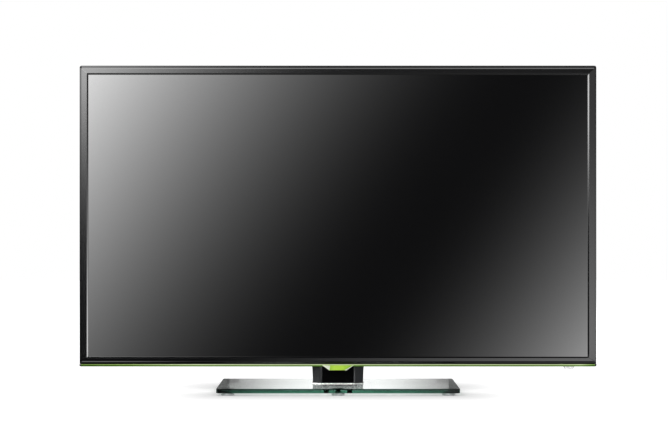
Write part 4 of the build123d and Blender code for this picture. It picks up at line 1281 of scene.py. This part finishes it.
@dataclass
class Trim:
    """Green strip with its end caps, the faceted badge and the indicator lens."""

    strip: Span = span("bottom_trim_strip")
    caps: Span = span("trim_end_caps")
    badge: Span = span("trim_badge")
    lens: Span = span("indicator_lens")
    lower_facet: Steps = ((1.2, 0.0), (0.34, 0.3))
    upper_facet: Steps = ((0.7, -1.2), (2.4, -1.1), (2.4, 0.0))
    crease: float = 2.9
    crease_least: float = 0.6
    cap_corner: float = 2.5
    cap_steps: int = 8
    badge_foot_half: float = 15.75
    badge_rim: float = 0.3
    boss_half: float = 13.0
    boss_depth: float = 5.0
    boss_lift: float = 0.4
    boss_gap: float = 0.01
    face_drop: float = 0.9
    face_rise: float = 1.2
    face_left: float = -14.5
    face_insets: Point = (2.5, 5.5, 1.6)
    tab_inset: Flat = (3.2, 2.0)
    tab_edge: Flat = (0.3, 0.4)
    tab_radius: float = 3.2
    tab_steps: int = 16
    flange: float = 1.5
    edge: float = 0.1
    cap_edge: float = 0.15

    def section(self, x: float, lift: float = 0.0) -> Loop:
        """Section of the strip at one place along it: two facets and a rebate over them.

        Args:
            x: Place along the strip.
            lift: How far the section's lower edge is lifted.

        Returns:
            Points of the closed section.
        """
        (_, front, bottom), (_, back, high) = self.strip
        low = bottom + lift
        rows = [(back, low), *((front + depth, low + rise) for depth, rise in self.lower_facet)]
        rows.append((front, max(low + self.crease_least, bottom + self.crease)))
        rows += [(front + depth, high + rise) for depth, rise in self.upper_facet]
        return [(x, y, z) for y, z in (*rows, (back, high))]

    def build_strip(self) -> None:
        """Build the strip and both end caps, whose lower outer corners are round."""
        draft = Draft()
        draft.skin([self.section(self.strip[0][0]), self.section(self.strip[1][0])])
        strip = draft.build("green_strip", self.edge, "green_acrylic")
        settle(strip, "green_acrylic", "bottom_trim_strip")
        caps = Draft()
        for side in (-1, 1):
            outer = side * self.caps[1][0]
            rows = [self.section(side * self.strip[1][0])]
            for step in range(self.cap_steps + 1):
                angle = math.pi / 2 * step / self.cap_steps
                x = outer - side * self.cap_corner * (1 - math.sin(angle))
                rows.append(self.section(x, self.cap_corner * (1 - math.cos(angle))))
            caps.skin(rows)
        ends = caps.build("strip_end_caps", self.cap_edge, "gloss_black")
        settle(ends, "gloss_black", "trim_end_caps")

    def badge_half(self, z: float) -> float:
        """Half the badge's width at a height."""
        (_, _, low), (right, _, high) = self.badge
        return right - (right - self.badge_foot_half) * (high - z) / (high - low)

    def build_badge(self) -> None:
        """Build the badge: a level face between a facet wide above and one wide below."""
        (_, front, low), (_, _, high) = self.badge
        (_, back, sill), _ = self.strip
        top, foot = self.badge_half(high), self.badge_half(low)
        outline = [(-top, high), (top, high), (foot, low), (-foot, low)]
        upper, lower = high - self.face_drop, low + self.face_rise
        insets = self.face_insets
        face = [(self.face_left, upper), (self.badge_half(upper) - insets[0], upper),
                (self.badge_half(lower) - insets[1], lower), (insets[2] - self.badge_half(lower), lower)]
        draft = Draft()
        loops = (upright(outline, back), upright(outline, back - self.badge_rim), upright(face, front))
        base, rim, level = (draft.loop(loop) for loop in loops)
        draft.face(base[::-1])
        draft.face(level)
        # The two side facets take the painted highlight finish.
        for number, mark in enumerate((0, 1, 0, 1)):
            after = (number + 1) % 4
            draft.face((base[number], base[after], rim[after], rim[number]), mark)
            draft.face((rim[number], rim[after], level[after], level[number]), mark)
        half, under = self.boss_half, low + self.boss_lift
        boss = [(-half, under), (half, under), (half, sill), (-half, sill)]
        draft.skin([upright(boss, y) for y in (back + self.boss_gap, back + self.boss_depth)])
        piece = draft.build("green_badge_plate", self.edge, "green_badge", "badge_facet_highlight")
        settle(piece, "green_badge", "trim_badge")

    def tab(self, inset: float, y: float) -> Loop:
        """Outline of the lens's tab, with round lower corners.

        Args:
            inset: How far it is drawn in.
            y: Its depth.

        Returns:
            Its points.
        """
        (left, _, low), (right, _, high) = self.lens
        radius, top = self.tab_radius, high - self.flange
        x0, x1 = left + self.tab_inset[0] + inset, right - self.tab_inset[1] - inset
        points = [(x1, top)]
        for step in range(self.tab_steps + 1):
            angle = math.pi * step / self.tab_steps
            corner = x1 - radius if step <= self.tab_steps / 2 else x0 + radius
            drop = radius * math.sin(angle)
            points.append((corner + radius * math.cos(angle), low + inset + radius - drop))
        return upright(points + [(x0, top)], y)

    def build_lens(self) -> None:
        """Build the lens: a clear tab and a flange inside the cover."""
        (left, front, _), (right, back, high) = self.lens
        under = high - self.flange
        draft = Draft()
        inset, depth = self.tab_edge
        draft.skin([self.tab(inset, front), self.tab(0, front + depth), self.tab(0, back)])
        flange = ((left, under), (right, under), (right, high), (left, high))
        draft.skin([upright(flange, y) for y in (front, back)])
        settle(draft.build("clear_lens_tab", 0, "clear_lens"), "clear_lens", "indicator_lens")

    def build(self) -> None:
        """Build the trim's pieces."""
        self.build_strip()
        self.build_badge()
        self.build_lens()


@dataclass
class Neck:
    """Neck of the stand: satin shroud, gloss panel, rear cover and bright foot plate."""

    edge: float = 0.2
    rear_edge: float = 0.35
    plate_edge: float = 0.15
    facing: float = -0.5

    def build(self) -> None:
        """Build the neck's pieces from their nodes, with soft edges."""
        shroud = twin("neck_shroud", "satin_shroud", self.edge, "satin_grey", "satin_edge_highlight")
        # Inner chamfers that face forward take the lighter copy, a painted highlight.
        for polygon in shroud.data.polygons:
            inwards = polygon.normal.x * polygon.center.x < 0
            polygon.material_index = int(inwards and polygon.normal.y < self.facing)
        settle(shroud, "satin_grey", "neck_shroud")
        stand_in("neck_rear_cover", "rear_neck_cover", self.rear_edge, "textured_black")
        stand_in("neck_front_panel", "deep_neck_panel", self.edge, "deep_black", "gloss_black")
        stand_in("foot_plate", "bright_foot_plate", self.plate_edge, "chrome")


@dataclass
class GlassStand:
    """Glass base with its bushes, screws, clamp plate and feet."""

    bushes: Span = span("base_bushes")
    screws: Span = span("base_screws")
    feet: Span = span("feet")
    level: float = 0.9
    plate_edge: float = 0.3
    bush: Disc = Disc("bush", "black_rubber", 4.7, 0.3, 3.1)
    foot: Disc = Disc("foot", "grey_rubber", 12.0, 0.8, 0.4)
    screw: Screw = Screw("base_screw", 5.5, 2.2, 0.7, 1.4, 3.0, (math.pi, 0.0, 0.0), "nickel")

    def build_glass(self) -> None:
        """Build the sheet, with its ground edges in their own finish."""
        sheet = twin("glass_base", "glass_sheet", 0, "green_glass", "glass_edge")
        for polygon in sheet.data.polygons:
            polygon.material_index = int(abs(polygon.normal.z) < self.level)
        settle(sheet, "green_glass", "glass_base")

    def build(self) -> None:
        """Build the stand's pieces."""
        self.build_glass()
        low, high = self.bushes
        row, middle = high[0] - self.bush.radius, (low[1] + high[1]) / 2
        places = [(x, middle, low[2]) for x in (-row, 0, row)]
        settle(self.bush.lay("glass_bushes", places, high[2] - low[2]), "black_rubber", "base_bushes")
        low, high = self.feet
        across, along = high[0] - self.foot.radius, high[1] - self.foot.radius
        places = [(x, y, low[2]) for x in (-across, 0, across) for y in (-along, along)]
        settle(self.foot.lay("rubber_feet", places, high[2] - low[2]), "grey_rubber", "feet")
        under = self.screws[0][2] + self.screw.height
        places = [(x, middle, under) for x in (-row, 0, row)]
        screws = self.screw.drive("clamp_screws", places, self.screws[1][2] - under)
        settle(screws, "zinc_steel", "base_screws")
        stand_in("clamp_plate", "steel_clamp_plate", self.plate_edge, "black_steel")


@dataclass(frozen=True)
class Key:
    """One key: a dished cap with round corners, a flange behind its window and a stem.

    Each step of the dish is its depth under the key's top, its inset and its corner radius.
    """

    name: str
    window: float = 31.5
    rim: float = 1.5
    stem: float = 1.5
    gap: float = 0.3
    overlap: float = 0.1
    flange: float = 1.2
    root_radius: float = 1.2
    flange_radius: float = 0.6
    stem_radius: float = 0.3
    cap_steps: int = 5
    steps: int = 3
    dish: tuple[Point, ...] = (
        (0.45, 0.0, 1.2),
        (0.12, 0.12, 1.1),
        (0.0, 0.5, 0.9),
        (0.05, 1.0, 0.7),
        (0.28, 2.2, 0.4),
    )

    def build(self) -> None:
        """Build the key and set it on its own body."""
        node = f"key_{self.name}"
        (left, front, low), (right, back, high) = span(node)
        near = self.window - self.gap
        far = near - self.flange
        draft = Draft()
        rows = [(near - self.overlap, 0.0, self.root_radius)]
        rows += [(back - depth, inset, radius) for depth, inset, radius in self.dish]
        cap = []
        for y, inset, radius in rows:
            edge = self.rim + inset
            corners = ((left + edge, low + edge), (right - edge, high - edge))
            cap.append(upright(rounded(*corners, radius, self.cap_steps), y))
        draft.skin(cap)
        flange = rounded((left, low), (right, high), self.flange_radius, self.steps)
        draft.skin([upright(flange, y) for y in (far, near)])
        x, z = (left + right) / 2, (low + high) / 2
        corners = ((x - self.stem, z - self.stem), (x + self.stem, z + self.stem))
        stem = rounded(*corners, self.stem_radius, self.steps)
        draft.skin([upright(stem, y) for y in (front, far + self.overlap / 2)])
        settle(draft.build(f"cap_{self.name}", 0, "key_black"), "key_black", node, body=node)


@dataclass
class Back:
    """Rear cover with its screws, posts, keys and sockets."""

    edge: float = 0.3
    screw_x: float = 452.0
    screw_heights: Point = (62.0, 326.0, 585.0)
    screw_inner: float = 150.0
    post: float = 100.0
    post_mouth: float = 33.2
    post_heights: Flat = (190.0, 390.0)
    well_x: float = 28.0
    well_heights: Flat = (102.5, 150.5)
    cover_screw: Screw = Screw("cover_screw", 4.0, 1.2, 0.35, 1.0, 1.9, (-math.pi / 2, 0.0, 0.0))
    stand_screw: Screw = Screw("stand_screw", 4.5, 3.5, 0.6, 1.2, 2.5, (-math.pi / 2, 0.0, 0.0))
    thread: Thread = Thread("post_thread", "nickel", 2.95, 1.0, 14.0, 0.35, (math.pi / 2, 0.0, 0.0))
    vga_rise: float = 6.0
    network_rise: Flat = (2.6, 9.0)
    hdmi_x: Flat = (-164.5, -187.0)
    hdmi_rise: Flat = (3.62, 117.5)
    keys: tuple[str, ...] = (
        "volume_down", "volume_up", "channel_down", "channel_up", "menu", "source", "power")

    def build_screws(self) -> None:
        """Build the cover's screws and the stand's screws."""
        low, high = span("cover_screws")
        under = high[1] - self.cover_screw.height
        places = [(side * self.screw_x, under, z) for side in (-1, 1) for z in self.screw_heights]
        places += [(side * self.screw_inner, under, self.screw_heights[-1]) for side in (-1, 1)]
        screws = self.cover_screw.drive("rear_cover_screws", places, under - low[1])
        settle(screws, "black_steel", "cover_screws")
        low, high = span("stand_screws")
        under = high[1] - self.stand_screw.height
        places = [(side * self.well_x, under, z) for side in (-1, 1) for z in self.well_heights]
        screws = self.stand_screw.drive("neck_screws", places, under - low[1])
        settle(screws, "black_steel", "stand_screws")

    def build_posts(self) -> None:
        """Wind the threads of the wall-mount posts into their bores."""
        places = [(side * self.post, self.post_mouth, z) for side in (-1, 1) for z in self.post_heights]
        settle(self.thread.wind("post_threads", places), "zinc_steel")
        dress("zinc_steel", "wall_mount_posts")

    def contacts(self) -> list[Contacts]:
        """Contacts of the sockets.

        Returns:
            One group for each socket.
        """
        (left, front, low), (right, back, _) = span("vga_socket")
        vga = ((left + right) / 2, (front + back) / 2, low + self.vga_rise)
        groups = [Contacts("vga_pins", vga, 5, 2.3, (0.5, 0.5, 7), 3, 2.2, 1.1)]
        (left, front, low), (right, _, _) = span("network_socket")
        network = ((left + right) / 2, front + self.network_rise[0], low + self.network_rise[1])
        groups.append(Contacts("network_contacts", network, 8, 1.02, (0.45, 0.5, 11)))
        (_, front, _), _ = span("hdmi_sockets")
        for number, x in enumerate(self.hdmi_x, 1):
            hdmi = (x, front + self.hdmi_rise[0], self.hdmi_rise[1])
            groups.append(Contacts(f"hdmi_contacts_{number}", hdmi, 10, 1.0, (0.4, 0.12, 8)))
        return groups

    def build(self) -> None:
        """Build everything on the back."""
        stand_in("rear_cover", "moulded_rear_cover", self.edge, "textured_black")
        self.build_screws()
        self.build_posts()
        for name in self.keys:
            Key(name).build()
        dress("nickel", "hdmi_sockets", "usb_sockets", "aerial_socket")
        dress("socket_blue", "vga_socket")
        dress("black_plastic", "network_socket", "headphone_jack", "mains_inlet")
        dress("jack_colour", "av_jacks")
        for group in self.contacts():
            group.build()


@dataclass
class Insides:
    """Pieces within the housing, which keep their CAD form."""

    finishes: tuple[tuple[str, tuple[str, ...]], ...] = (
        ("screen", ("lcd_panel",)),
        ("white_film", ("optical_films", "reflector_sheet")),
        ("clear_acrylic", ("light_guide_plate",)),
        ("led_white", ("led_packages",)),
        ("bare_aluminium", ("led_bar", "main_heat_sink", "power_heat_sinks")),
        ("zinc_steel", ("rear_pan", "stand_receiver")),
        ("black_steel", ("neck_bracket",)),
        ("black_plastic", ("panel_guide_frame", "speaker_left", "speaker_right", "key_switches")),
        ("driver_paper", ("speaker_drivers",)),
        ("circuit_board", ("receiver_board", "main_board", "timing_board", "source_boards", "key_board")),
        ("power_board", ("power_board",)),
        ("transformer_yellow", ("power_transformers",)),
        ("capacitor_sleeve", ("power_capacitors",)),
        ("ribbon_white", ("board_lead", "signal_ribbon", "source_cables")),
    )

    def build(self) -> None:
        """Dress every inner piece."""
        for finish, nodes in self.finishes:
            dress(finish, *nodes)


# Studio


@dataclass(frozen=True)
class SoftPanel:
    """Soft panel that only gloss mirrors, from one lean off the camera's axis to the next panel.

    The base and the rise are brightnesses as black gloss shows them; the rise grows from the dark
    place to the bright place along the panel, as a power of the distance.
    """

    lean: float
    base: float
    rise: float = 0.0
    dark: float = 0.0
    bright: float = 1.0
    power: float = 1.0


LEFT = (
    SoftPanel(0.19, 0.003, 0.40, -0.09, 0.085, 4.5),
    SoftPanel(0.36, 0.004, 0.34, -0.09, 0.085, 4.0),
    SoftPanel(0.61, 0.001, 0.17, -0.09, 0.085, 3.2),
    SoftPanel(0.94, 0.0, 0.54, -0.01, 0.06, 2.2),
)
RIGHT = (
    SoftPanel(0.19, 0.034, 0.12, 0.06, -0.08, 1.3),
    SoftPanel(0.61, 0.02, 0.11, 0.09, -0.08, 1.8),
    SoftPanel(0.94, 0.02, 0.58, 0.06, -0.08, 1.8),
)
TOP = (
    SoftPanel(0.13, 0.009, 0.44, 0.02, -0.15, 2.7),
    SoftPanel(0.36, 0.15, 0.28, 0.0, -0.15, 1.2),
    SoftPanel(0.61, 0.024, 0.22, 0.01, -0.15, 2.6),
    SoftPanel(0.94, 0.0),
)
BOTTOM = (
    SoftPanel(0.13, 0.002, 0.13, -0.08, 0.152, 1.7),
    SoftPanel(0.36, 0.009, 0.11, -0.09, -0.125, 1.0),
    SoftPanel(0.61, 0.001, 0.045, -0.08, 0.14, 1.3),
    SoftPanel(0.90, 0.012, 0.035, 0.0, -0.15, 1.0),
)


@dataclass
class Sky:
    """World: white where it is seen, soft where it lights, and a studio of panels in gloss."""

    daylight: float = 0.62
    gloss: float = 0.04
    slant: float = -0.7
    screen_scale: float = 1675.0
    screen_middle: float = 490.0
    lobes: tuple[Point, Point] = ((-1.0, 600.0, 513.0), (1.0, -560.0, 414.0))
    lobe_power: float = 3.25
    lobe_most: float = 0.9
    gain: float = 25.0
    dim: float = 0.08
    table_edge: Flat = (-0.0935, -0.0865)
    table_shade: Flat = (0.05, 1.0)
    side_share: float = 0.6
    corner: float = 0.3
    corner_light: float = 0.02
    turn: Flat = (-0.05, 0.05)
    card_middle: float = 0.006
    card_reach: Flat = (0.02, 0.068)
    card_light: Flat = (1.0, 0.28)
    dark_middle: float = 0.003
    dark_half: float = 0.065
    dark_light: float = 0.135
    card_end: Flat = (0.2, 0.4)
    card_most: float = 0.9

    def __post_init__(self) -> None:
        """Start the world's tree and take its directions apart."""
        world = bpy.data.worlds.new("studio")
        bpy.context.scene.world = world
        world.use_nodes = True
        self.writer = NodeWriter(world.node_tree)
        where = self.writer.node("ShaderNodeTexCoord").outputs["Generated"]
        self.across, self.ahead, self.up = self.writer.node("ShaderNodeSeparateXYZ", {0: where}).outputs

    def screen_light(self) -> Socket:
        """Light straight ahead of the screen: two soft lights with a slanted dark strip between.

        Returns:
            The light's strength.
        """
        math_node = self.writer.math
        ahead = math_node("MAXIMUM", math_node("MULTIPLY", self.ahead, -1.0), 0.001)
        slant = math_node("DIVIDE", math_node("MULTIPLY_ADD", self.up, self.slant, self.across), ahead)
        place = math_node("MULTIPLY_ADD", slant, self.screen_scale, self.screen_middle)
        lights = []
        for side, start, reach in self.lobes:
            distance = math_node("MAXIMUM", math_node("MULTIPLY_ADD", place, side, start), 0.0)
            share = math_node("POWER", math_node("DIVIDE", distance, reach), self.lobe_power)
            lights.append(math_node("MINIMUM", share, self.lobe_most))
        return math_node("MULTIPLY_ADD", math_node("ADD", *lights), self.gain, self.dim)

    def nest(self, light: Socket, lean: Socket, along: Socket, panels: Iterable[SoftPanel]) -> Socket:
        """Lay one side's panels round the light that is straight ahead.

        Args:
            light: The light straight ahead.
            lean: How far a direction leans off the camera's axis.
            along: Place along the panels.
            panels: Panels of the side, from the inside out.

        Returns:
            The side's strength.
        """
        for panel in panels:
            way = self.writer.shift(along, (panel.dark, panel.bright))
            share = self.writer.math("POWER", way, panel.power)
            glow = self.writer.math("MULTIPLY_ADD", share, panel.rise / self.gloss, panel.base / self.gloss)
            light = self.writer.above(lean, panel.lean, light, glow)
        return light

    def off(self, middle: float) -> Socket:
        """How far a direction lies to either side of a middle."""
        return self.writer.math("ABSOLUTE", self.writer.math("SUBTRACT", self.across, middle))

    def backdrop(self) -> Socket:
        """White card behind the object, brightest in the middle, with dark at both its sides.

        Returns:
            The card's strength.
        """
        away = self.off(self.dark_middle)
        card = self.writer.shift(self.off(self.card_middle), self.card_reach, self.card_light)
        dark = self.writer.above(away, self.dark_half, card, self.dark_light)
        return self.writer.pick(self.writer.shift(away, self.card_end), dark, self.card_most)

    def build(self) -> None:
        """Build the world's tree from the light ahead outwards."""
        sky = self.writer
        beneath = sky.shift(self.up, self.table_edge, self.table_shade)
        inner = sky.math("MULTIPLY", self.screen_light(), beneath)
        aside = sky.math("ABSOLUTE", self.across)
        above = sky.math("ABSOLUTE", self.up)
        left, right = (self.nest(inner, aside, self.up, panels) for panels in (LEFT, RIGHT))
        sides = sky.math("MULTIPLY", sky.above(self.across, 0.0, left, right), beneath)
        bottom, top = (self.nest(inner, above, self.across, panels) for panels in (BOTTOM, TOP))
        ends = sky.above(self.up, 0.0, bottom, top)
        around = sky.above(sky.math("MULTIPLY", aside, self.side_share), above, ends, sides)
        front = sky.above(sky.math("MINIMUM", aside, above), self.corner, around, self.corner_light)
        gloss = sky.pick(sky.shift(self.ahead, self.turn), front, self.backdrop())
        path = sky.node("ShaderNodeLightPath").outputs
        plain = sky.shift(path["Diffuse Depth"], (0, 1), (1.0, self.daylight))
        undimmed = sky.math("LESS_THAN", path["Diffuse Depth"], 0.5)
        strength = sky.pick(sky.math("MULTIPLY", path["Is Glossy Ray"], undimmed), plain, gloss)
        light = sky.node("ShaderNodeBackground", {"Color": (1, 1, 1, 1), "Strength": strength})
        sky.node("ShaderNodeOutputWorld", {"Surface": light.outputs[0]})


@dataclass(frozen=True)
class Lamp:
    """Soft lamp that gloss doesn't mirror."""

    name: str
    place: Point
    power: float
    target: Point = (0.0, 0.0, 0.3)
    size: float = 1.6

    def build(self) -> None:
        """Hang the lamp at its place and turn it to its target."""
        data = bpy.data.lights.new(self.name, "AREA")
        data.shape = "DISK"
        data.size = self.size
        data.energy = self.power
        new = put(self.name, data)
        new.location = self.place
        new.rotation_euler = (Vector(self.target) - Vector(self.place)).to_track_quat("-Z", "Y").to_euler()
        new.visible_glossy = False


@dataclass
class Studio:
    """Camera, floor, sky and lamps."""

    camera: Point = (-0.0074, -3.130, 0.313)
    focal: float = 90.27
    sensor: float = 36.0
    sight: float = 50.0
    floor_half: float = 6000.0
    stand_half: Flat = (0.205, 0.09)
    shadow: float = 0.11
    near_lift: Flat = (0.24, 0.62)
    glass_lift: float = 0.72
    paper_patch: float = 900.0
    paper: tuple[Colour, Colour] = ((0.78, 0.78, 0.785), (0.8, 0.8, 0.8))
    lamps: tuple[Lamp, Lamp] = (
        Lamp("key_light", (-1.6, -2.4, 2.4), 34.0),
        Lamp("back_light", (1.4, 2.2, 2.0), 30.0),
    )

    def build_camera(self) -> None:
        """Put the camera at the photograph's viewpoint, looking level along +Y."""
        data = bpy.data.cameras.new("camera")
        data.lens = self.focal
        data.sensor_width = self.sensor
        data.clip_end = self.sight
        new = put("camera", data)
        new.location = self.camera
        new.rotation_euler = (math.pi / 2, 0, 0)
        bpy.context.scene.camera = new

    def floor_paper(self) -> Material:
        """White paper that keeps the object's shadow and clears to white round it.

        Returns:
            The paper's material.
        """
        tree = ShaderTree("floor_paper")
        tone = tree.tones(tree.noise(self.paper_patch), *self.paper, MOST_NOISE)
        matt = tree.node("ShaderNodeBsdfDiffuse", {"Color": tone})
        path = tree.node("ShaderNodeLightPath").outputs
        beyond = []
        for name, half in zip("XY", self.stand_half):
            outside = tree.math("SUBTRACT", tree.math("ABSOLUTE", tree.axis(name)), half)
            beyond.append(tree.math("POWER", tree.math("MAXIMUM", outside, 0.0), 2.0))
        away = tree.math("SQRT", tree.math("ADD", *beyond))
        clearing = tree.shift(away, (0.0, self.shadow), self.near_lift)
        near = tree.math("MULTIPLY", path["Is Camera Ray"], clearing)
        lift = tree.math("MULTIPLY_ADD", path["Is Transmission Ray"], self.glass_lift, near)
        glow = tree.node("ShaderNodeEmission", {"Strength": lift})
        return tree.close(tree.node("ShaderNodeAddShader", {0: matt.outputs[0], 1: glow.outputs[0]}))

    def build_floor(self) -> None:
        """Lay the floor under the object, out of sight of gloss."""
        half = self.floor_half
        corners = ((-half, -half, 0), (half, -half, 0), (half, half, 0), (-half, half, 0))
        mesh = mesh_of("floor", corners, [(0, 1, 2, 3)])
        mesh.materials.append(self.floor_paper())
        floor = put("floor", mesh)
        floor.visible_glossy = False

    def build(self) -> None:
        """Build the studio."""
        self.build_camera()
        self.build_floor()
        Sky().build()
        for lamp in self.lamps:
            lamp.build()
        bpy.context.scene.view_settings.view_transform = "Standard"


def main() -> None:
    """Build every sub-assembly in order."""
    logging.basicConfig(level=logging.INFO, format="%(message)s")
    for part in (Studio(), Bezel(), Trim(), Neck(), GlassStand(), Back(), Insides()):
        LOG.info("building %s", type(part).__name__)
        part.build()


if __name__ == "__main__":
    main()
